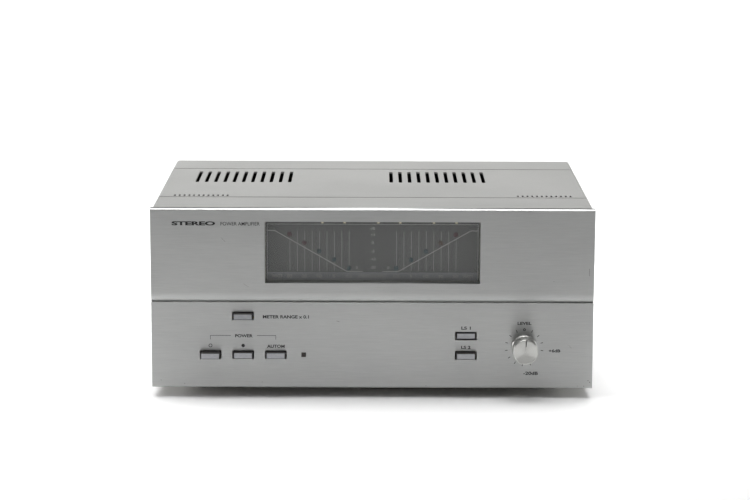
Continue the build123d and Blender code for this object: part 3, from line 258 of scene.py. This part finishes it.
# ================================================================== materials
def brushed_aluminium():
    """Front panel: fine brush lines across it and faint clouds."""
    made, shader = new_material(
        "brushed_aluminium", Metallic=1.0, Anisotropic=1.0, Anisotropic_Rotation=0.25
    )
    fine = stretched_noise(made, (110.0, 60.0, 3400.0), detail=3.0)
    coarse = stretched_noise(made, (45.0, 30.0, 900.0), detail=3.0, name_offset=3.1)
    blotch = stretched_noise(made, (9.0, 9.0, 16.0), detail=2.0, name_offset=7.7)
    both = add_node(made, "ShaderNodeMath", {0: fine, 1: coarse}, operation="ADD").outputs[0]
    streaks = remap(made, both, 0.65, 1.35, 0.0, 1.0)
    tone = mix_colours(made, streaks, (0.50, 0.506, 0.50), (0.575, 0.58, 0.57))
    cloudy = remap(made, blotch, 0.35, 0.65, 0.0, 1.0)
    clouds = mix_colours(made, cloudy, (0.93, 0.93, 0.935), (1.0, 1.0, 1.0))
    link(made, multiply_colours(made, tone, clouds), shader, "Base Color")
    link(made, remap(made, coarse, 0.3, 0.7, 0.33, 0.37), shader, "Roughness")
    add_bump(made, shader, both, 0.1, 0.00003)
    tangent = add_node(made, "ShaderNodeTangent", direction_type="RADIAL", axis="Z")
    link(made, tangent.outputs["Tangent"], shader, "Tangent")
    return made


def turned_aluminium():
    """Knob: fine rings round the piece's own Y axis."""
    made, shader = new_material(
        "turned_aluminium", Metallic=1.0, Roughness=0.35, Anisotropic=0.75, Anisotropic_Rotation=0.25
    )
    coords = add_node(made, "ShaderNodeTexCoord")
    parts = add_node(made, "ShaderNodeSeparateXYZ", {"Vector": coords.outputs["Object"]})
    flat = add_node(
        made, "ShaderNodeCombineXYZ", {"X": parts.outputs["X"], "Y": parts.outputs["Z"]}
    )
    radius = add_node(made, "ShaderNodeVectorMath", {0: flat.outputs[0]}, operation="LENGTH")
    ring_place = add_node(
        made, "ShaderNodeCombineXYZ", {"X": radius.outputs["Value"], "Y": parts.outputs["Y"]}
    )
    ring_scale = add_node(
        made, "ShaderNodeVectorMath", {0: ring_place.outputs[0], "Scale": 7000.0}, operation="SCALE"
    )
    rings = add_node(
        made, "ShaderNodeTexNoise", {"Vector": ring_scale.outputs[0], "Scale": 1.0, "Detail": 2.0}
    )
    tone = mix_colours(made, rings.outputs["Fac"], (0.40, 0.40, 0.385), (0.57, 0.57, 0.55))
    link(made, tone, shader, "Base Color")
    add_bump(made, shader, rings.outputs["Fac"], 0.25, 0.00003)
    tangent = add_node(made, "ShaderNodeTangent", direction_type="RADIAL", axis="Y")
    link(made, tangent.outputs["Tangent"], shader, "Tangent")
    return made


def satin_metal(name, colour, roughness, grain=1800.0):
    """Plated or bare metal with a fine cloudy grain."""
    made, shader = new_material(name, colour, Metallic=1.0)
    grain_noise = stretched_noise(made, (grain, grain, grain), detail=2.0)
    cloud = stretched_noise(made, (60.0, 60.0, 60.0), detail=2.0, name_offset=5.0)
    dark = tuple(c * 0.82 for c in colour)
    cloudy = remap(made, cloud, 0.35, 0.65, 0.0, 1.0)
    link(made, mix_colours(made, cloudy, dark, colour), shader, "Base Color")
    link(made, remap(made, grain_noise, 0.3, 0.7, roughness * 0.8, roughness * 1.25), shader, "Roughness")
    add_bump(made, shader, grain_noise, 0.1, 0.00003)
    return made


def faced_cap():
    """Button cap: faces looking ahead and down are satin metal; all other faces, the tops among them, are
    painted near-black as a painted dark reflection.
    """
    made, shader = new_material("faced_cap", (0.03, 0.03, 0.03))
    coords = add_node(made, "ShaderNodeTexCoord")
    parts = add_node(made, "ShaderNodeSeparateXYZ", {"Vector": coords.outputs["Normal"]})
    facing = add_node(made, "ShaderNodeMath", {0: parts.outputs["Y"], 1: -0.9}, operation="LESS_THAN")
    ahead = facing.outputs[0]
    falling = add_node(made, "ShaderNodeMath", {0: parts.outputs["Z"], 1: -0.3}, operation="LESS_THAN")
    below = falling.outputs[0]
    metal_faces = add_node(made, "ShaderNodeMath", {0: ahead, 1: below}, operation="MAXIMUM").outputs[0]
    wear = stretched_noise(made, (420.0, 420.0, 900.0), detail=2.0)
    worn = remap(made, wear, 0.3, 0.7, 0.0, 1.0)
    metal = mix_colours(made, worn, (0.265, 0.27, 0.285), (0.315, 0.32, 0.33))
    # faces off the metal mask, the tops among them, are painted near-black: painted dark reflection
    link(made, mix_colours(made, metal_faces, (0.014, 0.013, 0.012), metal), shader, "Base Color")
    link(made, metal_faces, shader, "Metallic")
    link(made, remap(made, metal_faces, 0.0, 1.0, 0.6, 0.33), shader, "Roughness")
    return made


def textured_paint(name, colour, roughness, pebble=1500.0, metallic=0.0, depth=0.00006):
    """Fine textured stove enamel, a little uneven in tone."""
    made, shader = new_material(name, colour, Metallic=metallic)
    pebbles = stretched_noise(made, (pebble, pebble, pebble), detail=2.0)
    cloud = stretched_noise(made, (14.0, 14.0, 14.0), detail=3.0, name_offset=2.0)
    dark = tuple(c * 0.88 for c in colour)
    mixed = add_node(made, "ShaderNodeMath", {0: pebbles, 1: cloud}, operation="MULTIPLY").outputs[0]
    speckle = remap(made, mixed, 0.15, 0.36, 0.0, 1.0)
    link(made, mix_colours(made, speckle, dark, colour), shader, "Base Color")
    link(made, remap(made, pebbles, 0.3, 0.7, roughness * 0.85, roughness * 1.15), shader, "Roughness")
    add_bump(made, shader, pebbles, 0.35, depth)
    return made


def moulded_plastic(name, colour, roughness=0.45, grain=2600.0):
    """Moulded plastic with a fine spark-eroded grain."""
    made, shader = new_material(name, colour)
    grain_noise = stretched_noise(made, (grain, grain, grain), detail=1.0)
    cloud = stretched_noise(made, (40.0, 40.0, 40.0), detail=2.0, name_offset=4.0)
    light = tuple(min(1.0, c * 1.25 + 0.004) for c in colour)
    link(made, mix_colours(made, cloud, colour, light), shader, "Base Color")
    link(made, remap(made, grain_noise, 0.3, 0.7, roughness * 0.85, roughness * 1.15), shader, "Roughness")
    add_bump(made, shader, grain_noise, 0.15, 0.00004)
    return made


def smoked_acrylic_painted_sheen():
    """Meter pane: a lightly smoked see-through block with a soft sheen and faint dust. Its pale grey base
    colour is painted reflection, standing in for the floor mirrored in the pane.
    """
    made, shader = new_material("smoked_acrylic_painted_sheen", (0.26, 0.263, 0.26), Alpha=0.15, IOR=1.49)
    dust = stretched_noise(made, (900.0, 900.0, 900.0), detail=2.0)
    haze = stretched_noise(made, (25.0, 25.0, 40.0), detail=2.0, name_offset=6.0)
    # the pale grey is painted reflection of the floor, a little uneven in tone
    link(made, mix_colours(made, haze, (0.25, 0.253, 0.25), (0.27, 0.273, 0.27)), shader, "Base Color")
    link(made, remap(made, dust, 0.3, 0.7, 0.16, 0.24), shader, "Roughness")
    return made


def printed_ink(name, colour, roughness=0.55, uneven=1.3):
    """Screen-printed ink with slightly uneven cover."""
    made, shader = new_material(name, colour)
    cover = stretched_noise(made, (5000.0, 5000.0, 5000.0), detail=1.0)
    light = tuple(min(1.0, c * uneven) for c in colour)
    link(made, mix_colours(made, cover, colour, light), shader, "Base Color")
    link(made, remap(made, cover, 0.3, 0.7, roughness * 0.9, roughness * 1.1), shader, "Roughness")
    return made


def lamp_lens(name, colour):
    """An unlit lamp: diffusing coloured plastic, darker in patches where the chip sits behind."""
    made, shader = new_material(name, colour, IOR=1.5)
    cloud = stretched_noise(made, (700.0, 700.0, 700.0), detail=1.0)
    dark = tuple(c * 0.85 for c in colour)
    link(made, mix_colours(made, cloud, dark, colour), shader, "Base Color")
    link(made, remap(made, cloud, 0.3, 0.7, 0.35, 0.5), shader, "Roughness")
    return made


def circuit_board():
    """Paper laminate: brown, with a faint weave and darker tracks."""
    made, shader = new_material("circuit_board", (0.30, 0.20, 0.09))
    weave = stretched_noise(made, (900.0, 2400.0, 900.0), detail=1.0)
    coords = add_node(made, "ShaderNodeTexCoord")
    tracks = add_node(
        made,
        "ShaderNodeTexVoronoi",
        {"Vector": coords.outputs["Object"], "Scale": 140.0},
        distance="CHEBYCHEV",
    )
    tone = mix_colours(made, weave, (0.26, 0.17, 0.07), (0.36, 0.25, 0.12))
    track = remap(made, tracks.outputs["Distance"], 0.28, 0.32, 0.0, 0.6)
    link(made, mix_colours(made, track, tone, (0.18, 0.14, 0.05)), shader, "Base Color")
    link(made, remap(made, weave, 0.3, 0.7, 0.4, 0.55), shader, "Roughness")
    add_bump(made, shader, tracks.outputs["Distance"], 0.1, 0.00003)
    return made


def banded(name, dark, light, scale, roughness, metallic=0.0):
    """Fine parallel layers, such as laminations or wound tape."""
    made, shader = new_material(name, light, Metallic=metallic)
    layers = stretched_noise(made, scale, detail=1.0)
    stripes = remap(made, layers, 0.35, 0.65, 0.0, 1.0)
    link(made, mix_colours(made, stripes, dark, light), shader, "Base Color")
    link(made, remap(made, layers, 0.3, 0.7, roughness * 0.8, roughness * 1.2), shader, "Roughness")
    add_bump(made, shader, layers, 0.3, 0.0001)
    return made


def phono_finish():
    """Phono sockets: plated sleeves behind a black moulded flange."""
    made, shader = new_material("phono_finish", (0.03, 0.03, 0.03))
    flange_back = rear_y + 1.6 * MM
    coords = add_node(made, "ShaderNodeTexCoord")
    parts = add_node(made, "ShaderNodeSeparateXYZ", {"Vector": coords.outputs["Object"]})
    plated = add_node(
        made,
        "ShaderNodeMath",
        {0: parts.outputs["Y"], 1: flange_back + 0.05 * MM},
        operation="GREATER_THAN",
    ).outputs[0]
    cloud = stretched_noise(made, (300.0, 300.0, 300.0), detail=2.0)
    metal = mix_colours(made, cloud, (0.55, 0.54, 0.50), (0.78, 0.77, 0.73))
    link(made, mix_colours(made, plated, (0.03, 0.03, 0.032), metal), shader, "Base Color")
    link(made, plated, shader, "Metallic")
    link(made, remap(made, cloud, 0.3, 0.7, 0.22, 0.36), shader, "Roughness")
    return made


materials = {
    "front_panel": brushed_aluminium(),
    "top_cover": textured_paint("cover_paint", (0.28, 0.28, 0.272), 0.42, metallic=0.2),
    "rear_panel": textured_paint("rear_paint", (0.035, 0.036, 0.038), 0.5),
    "heatsink": textured_paint("black_anodising", (0.022, 0.022, 0.024), 0.42, pebble=4000.0, metallic=0.3),
    "meter_window": smoked_acrylic_painted_sheen(),
    "window_clips": satin_metal("clip_brass", (0.78, 0.72, 0.52), 0.3),
    "meter_scale_plate": printed_ink("scale_print", (0.12, 0.122, 0.121), uneven=1.05),
    "meter_housing": moulded_plastic("black_moulding", (0.02, 0.02, 0.02)),
    "meter_leds_red": lamp_lens("lens_red", (0.07, 0.02, 0.027)),
    "meter_leds_orange": lamp_lens("lens_orange", (0.085, 0.052, 0.032)),
    "meter_leds_green": lamp_lens("lens_green", (0.02, 0.062, 0.07)),
    "power_led": lamp_lens("lens_dark", (0.022, 0.012, 0.010)),
    "phono_sockets": phono_finish(),
    "transformer_core": banded(
        "laminations", (0.05, 0.05, 0.055), (0.16, 0.16, 0.17), (30.0, 2600.0, 30.0), 0.4, 0.6
    ),
    "transformer_winding": banded(
        "coil_tape", (0.55, 0.42, 0.10), (0.80, 0.66, 0.24), (60.0, 60.0, 420.0), 0.5
    ),
    "reservoir_capacitors": moulded_plastic("blue_sleeve", (0.02, 0.06, 0.22), 0.25),
    "speaker_relay": moulded_plastic("relay_case", (0.55, 0.55, 0.50), 0.2),
    "resistors": moulded_plastic("resistor_coat", (0.50, 0.36, 0.20), 0.5),
    "board_fuses": satin_metal("fuse_clips", (0.75, 0.76, 0.76), 0.25),
}
circuit = circuit_board()
zinc = satin_metal("zinc_plate", (0.60, 0.59, 0.54), 0.38, grain=900.0)
screw_steel = satin_metal("screw_steel", (0.35, 0.35, 0.36), 0.35)
cap_metal = faced_cap()
black_plastic = moulded_plastic("black_plastic", (0.018, 0.018, 0.019), 0.4)
foot_rubber = moulded_plastic("foot_rubber", (0.016, 0.016, 0.016), 0.75, grain=1800.0)
materials.update(dict.fromkeys(["meter_board", "amplifier_board"], circuit))
materials["small_capacitors"] = materials["reservoir_capacitors"]
for plated_name in (
    "front_frame", "chassis_tray", "switch_brackets", "level_shaft", "level_pot", "level_nut",
    "transformer_bracket", "board_standoffs",
):
    materials[plated_name] = zinc
for node_name in nodes:
    if node_name.endswith("_screws"):
        materials[node_name] = screw_steel
    elif node_name.startswith("foot_"):
        materials[node_name] = foot_rubber
    elif node_name.endswith("_cap"):
        materials[node_name] = cap_metal
    elif node_name not in materials:
        materials[node_name] = black_plastic

for node_name, holder in nodes.items():
    holder.data.materials.clear()
    holder.data.materials.append(materials[node_name])

# Small rounds on the sharp edges of the CAD pieces that catch the light.
edge_rounds = {name: 0.15 for name in ("heatsink", "phono_sockets", "speaker_sockets", "mains_inlet")}
edge_rounds["rear_panel"] = 0.1
edge_rounds.update({name: 0.07 for name in nodes if name.endswith("_cap")})
for node_name, size in edge_rounds.items():
    bevel = nodes[node_name].modifiers.new("edge_round", "BEVEL")
    bevel.width = size * MM
    bevel.segments = 2
    bevel.limit_method = "ANGLE"
    bevel.angle_limit = math.radians(40)


# ================================================================== level knob
KNOB_STEPS = 160
POINTER_ANGLE = 5.0  # degrees clockwise from straight up


def make_level_knob():
    """A turned knob: collar, groove, grip and a shallow dished face with a pointer groove."""
    # distance ahead of the panel's face, radius, both in millimetres
    profile = [
        (0.4, 0.0), (0.4, 7.7), (0.6, 7.93), (2.6, 7.93), (3.1, 7.5), (3.2, 7.05), (4.0, 7.05), (4.1, 7.3),
        (4.5, 7.72), (13.2, 7.72), (13.5, 7.6), (13.7, 7.38), (13.78, 7.15), (13.78, 7.0), (13.62, 6.85),
        (13.57, 6.6), (13.52, 0.0),
    ]
    bm = bmesh.new()
    rings = []
    for reach, radius in profile:
        if radius == 0.0:
            rings.append([bm.verts.new((0, -reach * MM, 0))])
            continue
        rings.append(
            [
                bm.verts.new(
                    (
                        radius * MM * math.sin(2 * math.pi * i / KNOB_STEPS),
                        -reach * MM,
                        radius * MM * math.cos(2 * math.pi * i / KNOB_STEPS),
                    )
                )
                for i in range(KNOB_STEPS)
            ]
        )
    for ring, following in zip(rings, rings[1:]):
        for i in range(KNOB_STEPS):
            j = (i + 1) % KNOB_STEPS
            corners = [ring[k % len(ring)] for k in (i, j)]
            corners += [following[k % len(following)] for k in (j, i)]
            bm.faces.new(list(dict.fromkeys(corners)))
    bmesh.ops.recalc_face_normals(bm, faces=bm.faces)
    mesh = bpy.data.meshes.new("level_knob_turned")
    bm.to_mesh(mesh)
    bm.free()
    knob = bpy.data.objects.new("level_knob_turned", mesh)
    bpy.context.scene.collection.objects.link(knob)
    knob.location = (knob_centre.x, front_y, knob_centre.z)

    # the pointer groove is cut by a narrow bar
    cutter_bm = bmesh.new()
    bmesh.ops.create_cube(cutter_bm, size=1.0)
    cutter_mesh = bpy.data.meshes.new("pointer_cutter")
    cutter_bm.to_mesh(cutter_mesh)
    cutter_bm.free()
    cutter = bpy.data.objects.new("pointer_cutter", cutter_mesh)
    bpy.context.scene.collection.objects.link(cutter)
    turn = Matrix.Rotation(math.radians(POINTER_ANGLE), 4, "Y")
    cutter.matrix_world = (
        Matrix.Translation(knob.location)
        @ turn
        @ Matrix.Translation((0, -13.7 * MM, 5.6 * MM))
        @ Matrix.Diagonal((0.55 * MM, 1.2 * MM, 4.6 * MM, 1.0))
    )
    cut = knob.modifiers.new("pointer", "BOOLEAN")
    cut.operation = "DIFFERENCE"
    cut.object = cutter
    bpy.context.view_layer.update()
    carved = bpy.data.meshes.new_from_object(knob.evaluated_get(bpy.context.evaluated_depsgraph_get()))
    knob.modifiers.clear()
    knob.data = carved
    bpy.data.objects.remove(cutter)
    smooth_by_angle(knob, 30)
    knob.data.materials.clear()
    knob.data.materials.append(turned_aluminium())
    knob.data.materials.append(printed_ink("pointer_groove_dark", (0.09, 0.09, 0.085)))
    # the floor and walls of the pointer groove are dark
    unturn = turn.inverted()
    for face in knob.data.polygons:
        middle = unturn @ face.center
        inside = abs(middle.x) < 0.3 * MM and middle.z > 3.2 * MM
        face.material_index = 1 if inside and -13.6 * MM < middle.y < -12.9 * MM else 0
    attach(knob, "level_control")
    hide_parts("level_knob")
    return knob


def smooth_by_angle(piece, degrees):
    """Smooth shading, with edges sharper than an angle kept hard."""
    mesh = piece.data
    mesh.shade_smooth()
    mesh.set_sharp_from_angle(angle=math.radians(degrees))


# ================================================================== front print
def make_front_legends():
    """Printed legends of the front panel. The name on the upper left is a plain description."""
    bm = bmesh.new()
    off_x, row_z = middle_of("power_off_cap")
    on_x, _ = middle_of("power_on_cap")
    auto_x, _ = middle_of("power_auto_cap")
    range_x, range_z = middle_of("meter_range_cap")
    speaker_x, speaker_1_z = middle_of("speaker_1_cap")
    _, speaker_2_z = middle_of("speaker_2_cap")
    knob_x, knob_z = knob_centre.x / MM, (knob_centre.z - bottom_z) / MM
    # words, middle x, foot z, width, height, boldness
    legends = [
        ("STEREO", -108.7, 101.0, 26.4, 2.5, 0.045),
        ("POWER AMPLIFIER", -80.4, 101.0, 23.8, 2.2, 0.006),
        ("METER RANGE x 0.1", range_x + 26.2, range_z - 1.5, 28.2, 2.1, 0.034),
        ("POWER", on_x + 0.5, row_z + 10.8, 10.8, 2.0, 0.034),
        ("AUTOM", auto_x, row_z + 4.3, 10.8, 2.0, 0.034),
        ("LS 1", speaker_x, speaker_1_z + 4.0, 5.8, 2.0, 0.034),
        ("LS 2", speaker_x, speaker_2_z + 4.0, 5.8, 2.0, 0.034),
        ("LEVEL", knob_x, knob_z + 14.1, 8.5, 1.9, 0.034),
        ("0", knob_x, knob_z + 10.2, 1.6, 1.8, 0.034),
        ("+6dB", knob_x + 18.6, knob_z - 3.1, 7.2, 2.0, 0.034),
        ("-20dB", knob_x + 4.2, knob_z - 17.3, 9.0, 2.1, 0.034),
    ]
    for words, x, z, long, high, weight in legends:
        start = front_point(x - long / 2, z)
        end = front_point(x + long / 2, z + high)
        add_text(bm, words, start[0], end[0], start[1], end[1], front_y, weight)
    # bracket lines from the word POWER to the first and last power button
    leg_z, line_z, gap = row_z + 9.5, row_z + 12.0, 8.0
    for outer_x, inner_x in ((off_x, on_x + 0.5 - gap), (auto_x, on_x + 0.5 + gap)):
        route = ((outer_x, leg_z), (outer_x, line_z), (inner_x, line_z))
        for start, end in zip(route, route[1:]):
            add_bar(bm, front_point(*start), front_point(*end), 0.27 * MM, front_y)
    add_disc(bm, front_point(off_x, row_z + 5.7), 1.15 * MM, front_y, hole=0.76 * MM)
    add_disc(bm, front_point(on_x, row_z + 5.7), 1.08 * MM, front_y)
    # the knob's scale: a line every 25 degrees, with the figure 0 in place of the top one
    for step in range(-8, 5):
        if step == 0:
            continue
        angle = math.radians(25 * step)
        way = Vector((math.sin(angle), math.cos(angle)))
        middle = Vector((knob_centre.x, knob_centre.z))
        add_bar(bm, middle + way * 10.3 * MM, middle + way * 11.9 * MM, 0.42 * MM, front_y)
    piece = add_mesh("front_legends", bm)
    piece.data.materials.append(printed_ink("black_ink", INK_BLACK))
    return piece


# ================================================================== meter graphic
def make_meter_graphic():
    """Light lines and figures on the scale plate, over a paler strip along its foot that is partly a
    printed band and partly painted light lifting the shade of the window's lower edge.
    """
    y = plate_low.y
    drop = 0.9  # the plate lies behind the panel, so its print is a little lower than it looks
    line = 0.28 * MM
    bm = bmesh.new()

    def point(x, z):
        return front_point(1.005 * x, z - drop)

    # pale strip: partly a printed band, partly painted light that brightens the shade the window's lower
    # edge casts on the plate
    strip = bmesh.new()
    add_bar(strip, point(-64.4, 68.8), point(64.4, 68.8), 5.9 * MM, y, thickness=MARK_DEPTH)
    strip_piece = add_mesh("meter_strip_and_painted_light", strip)
    strip_piece.data.materials.append(printed_ink("strip_ink_and_painted_light", (0.30, 0.31, 0.32), uneven=1.05))

    for side in (-1, 1):
        route = [(63.6, 97.7), (59.6, 97.7), (15.6, 72.3), (6.0, 72.3)]
        for start, end in zip(route, route[1:]):
            add_bar(bm, point(side * start[0], start[1]), point(side * end[0], end[1]), 0.42 * MM, y)
        for step in range(9):
            x = 14.2 + 4.5 * step if side < 0 else 14.5 + 4.53 * step
            add_bar(bm, point(side * x, 72.6), point(side * x, 97.3 if step < 8 else 92.4), line * 0.8, y)
        figures = (("0.5", 14.4), ("5", 23.4), ("10", 32.4), ("20", 41.5), ("50", 50.5))
        for words, x in figures:
            half = 0.72 * len(words.replace(".", "")) + (0.3 if "." in words else 0.0)
            add_box_text(bm, words, side * x, 68.4, half, 1.9, y, point)
        add_box_text(bm, "WATT", side * 58.0, 68.4, 3.3, 1.9, y, point)
        add_box_text(bm, "0", side * 9.6, 73.9, 0.6, 1.7, y, point)
    add_box_text(bm, "STEREO OUTPUT", 0.0, 68.4, 8.6, 1.9, y, point)
    decibels = (
        ("dB", 98.1, 1.4), ("+3", 94.3, 1.3), ("0", 89.2, 0.7),
        ("-5", 84.0, 1.1), ("-10", 79.1, 1.7), ("-20", 74.0, 1.7),
    )
    for words, z, half in decibels:
        add_box_text(bm, words, 0.1, z, half, 1.8, y, point)
    # border line
    corners = [(-64.0, 67.0), (64.0, 67.0), (64.0, 101.6), (-64.0, 101.6)]
    for start, end in zip(corners, corners[1:] + corners[:1]):
        add_bar(bm, point(*start), point(*end), 0.3 * MM, y)
    piece = add_mesh("meter_graphic", bm)
    piece.data.materials.append(printed_ink("light_ink", (0.52, 0.52, 0.49), uneven=1.1))
    return piece


def add_box_text(bm, words, x, z, half, height, y, point):
    """Add lettering centred on x with its foot at z."""
    low = point(x - half, z)
    high = point(x + half, z + height)
    add_text(bm, words, low[0], high[0], low[1], high[1], y)


# ================================================================== wear on the front panel
def make_front_marks():
    """Small specks and scratches of the front panel."""
    bm = bmesh.new()
    specks = (
        (-129.5, 4.5, 0.25), (-115.0, 2.5, 0.25), (-67.5, 3.5, 0.2), (33.0, 1.5, 0.2), (132.5, 5.0, 0.3),
        (133.5, 4.0, 0.3), (130.0, 1.5, 0.25), (126.0, 1.5, 0.2), (110.5, 67.0, 0.2),
    )
    for x, z, radius in specks:
        add_disc(bm, front_point(x, z), radius * MM, front_y, thickness=MARK_DEPTH, steps=10)
    scratches = (
        ((-92.0, 93.5), (-89.5, 91.0), 0.12), ((-78.5, 65.0), (-75.5, 63.0), 0.12),
        ((-22.0, 42.0), (-20.0, 41.5), 0.2), ((132.0, 75.0), (132.0, 70.5), 0.2),
        ((119.5, 27.5), (122.0, 25.5), 0.1),
    )
    for start, end, across in scratches:
        add_bar(bm, front_point(*start), front_point(*end), across * MM, front_y, thickness=MARK_DEPTH)
    piece = add_mesh("front_marks", bm)
    piece.data.materials.append(moulded_plastic("ground_in_dirt", (0.10, 0.09, 0.08), 0.6))
    return piece


# ================================================================== rear print
def make_rear_legends():
    """Plain legends beside the rear sockets, read from behind."""
    bm = bmesh.new()
    legends = [
        ("INPUT", -35.0, 96.6, 6.0),
        ("L", -44.0, 74.8, 0.8),
        ("R", -26.0, 74.8, 0.9),
        ("DIN", -74.0, 96.6, 3.6),
        ("LS 2", 27.0, 96.6, 4.0),
        ("LS 1", 91.0, 96.6, 4.0),
        ("R", 12.0, 74.8, 0.9),
        ("L", 42.0, 74.8, 0.8),
        ("R", 76.0, 74.8, 0.9),
        ("L", 106.0, 74.8, 0.8),
        ("MAINS", -108.0, 39.0, 6.5),
        ("FUSE", -74.0, 39.0, 4.6),
    ]
    for words, x, z, half in legends:
        low = front_point(x - half, z)
        high = front_point(x + half, z + 2.4)
        add_text(bm, words, low[0], high[0], low[1], high[1], rear_y, facing=-1)
    piece = add_mesh("rear_legends", bm)
    piece.data.materials.append(printed_ink("white_ink", (0.62, 0.62, 0.60)))
    return piece


make_level_knob()
make_front_legends()
make_meter_graphic()
make_front_marks()
make_rear_legends()


# ================================================================== floor, light and camera
def make_floor():
    """A plain pale floor that runs past the view on every side."""
    bm = bmesh.new()
    half = 7.0
    sides = ((-half, -half), (half, -half), (half, half), (-half, half))
    corners = [bm.verts.new((x, y, 0)) for x, y in sides]
    bm.faces.new(corners)
    mesh = bpy.data.meshes.new("floor")
    bm.to_mesh(mesh)
    bm.free()
    floor = bpy.data.objects.new("floor", mesh)
    bpy.context.scene.collection.objects.link(floor)
    made, shader = new_material("floor_paper", (0.88, 0.88, 0.88), Roughness=0.7)
    grain = stretched_noise(made, (60.0, 60.0, 60.0), detail=2.0)
    link(made, mix_colours(made, grain, (0.87, 0.87, 0.87), (0.89, 0.89, 0.89)), shader, "Base Color")
    floor.data.materials.append(made)


def add_area_light(name, place, target, size, power, spread=180.0):
    """A soft rectangular light that faces a point."""
    light = bpy.data.lights.new(name, "AREA")
    light.shape = "RECTANGLE"
    light.size, light.size_y = size
    light.energy = power
    light.spread = math.radians(spread)
    holder = bpy.data.objects.new(name, light)
    bpy.context.scene.collection.objects.link(holder)
    holder.location = place
    holder.rotation_euler = (Vector(target) - Vector(place)).to_track_quat("-Z", "Y").to_euler()
    holder.visible_camera = False
    return holder


def make_light():
    """A soft box close above, a wide light over the ground behind, low side lights and a dim room."""
    add_area_light("soft_box", (-0.14, 0.06, 0.75), (-0.14, 0.06, 0), (1.1, 0.55), 4.3, spread=94.0)
    add_area_light("backdrop_light", (0.0, 2.2, 1.7), (0.0, 2.2, 0), (4.0, 2.8), 75.0, spread=110.0)
    add_area_light("low_left", (-1.6, 0.15, 0.42), (-0.1, 0.05, 0.02), (1.5, 0.5), 5.0, spread=110.0)
    add_area_light("low_right", (1.6, 0.15, 0.42), (0.1, 0.05, 0.02), (1.5, 0.5), 3.5, spread=110.0)
    world = bpy.data.worlds.new("surround")
    bpy.context.scene.world = world
    world.use_nodes = True
    background = world.node_tree.nodes["Background"]
    background.inputs["Color"].default_value = (1.0, 1.0, 1.0, 1.0)
    way = add_node(world, "ShaderNodeTexCoord")
    parts = add_node(world, "ShaderNodeSeparateXYZ", {"Vector": way.outputs["Generated"]})
    aside = add_node(world, "ShaderNodeMath", {0: parts.outputs["X"]}, operation="ABSOLUTE")
    link(world, remap(world, aside.outputs[0], 0.5, 0.95, 0.15, 0.45), background, "Strength")


def make_camera():
    """A long lens, 1.43 m ahead of the front panel and looking a little down on it."""
    camera = bpy.data.cameras.new("camera")
    camera.sensor_width = 36.0
    camera.lens = 114.86
    holder = bpy.data.objects.new("camera", camera)
    bpy.context.scene.collection.objects.link(holder)
    place = Vector((-0.0004, front_y - 1.428, bottom_z + 0.3573))
    pitch, roll, yaw = math.radians(10.75), math.radians(0.212), math.radians(0.075)
    holder.matrix_world = (
        Matrix.Translation(place)
        @ Matrix.Rotation(-yaw, 4, "Z")
        @ Matrix.Rotation(math.pi / 2 - pitch, 4, "X")
        @ Matrix.Rotation(roll, 4, "Z")
    )
    bpy.context.scene.camera = holder


make_floor()
make_light()
make_camera()
bpy.context.scene.view_settings.view_transform = "Standard"
bpy.context.scene.view_settings.look = "None"
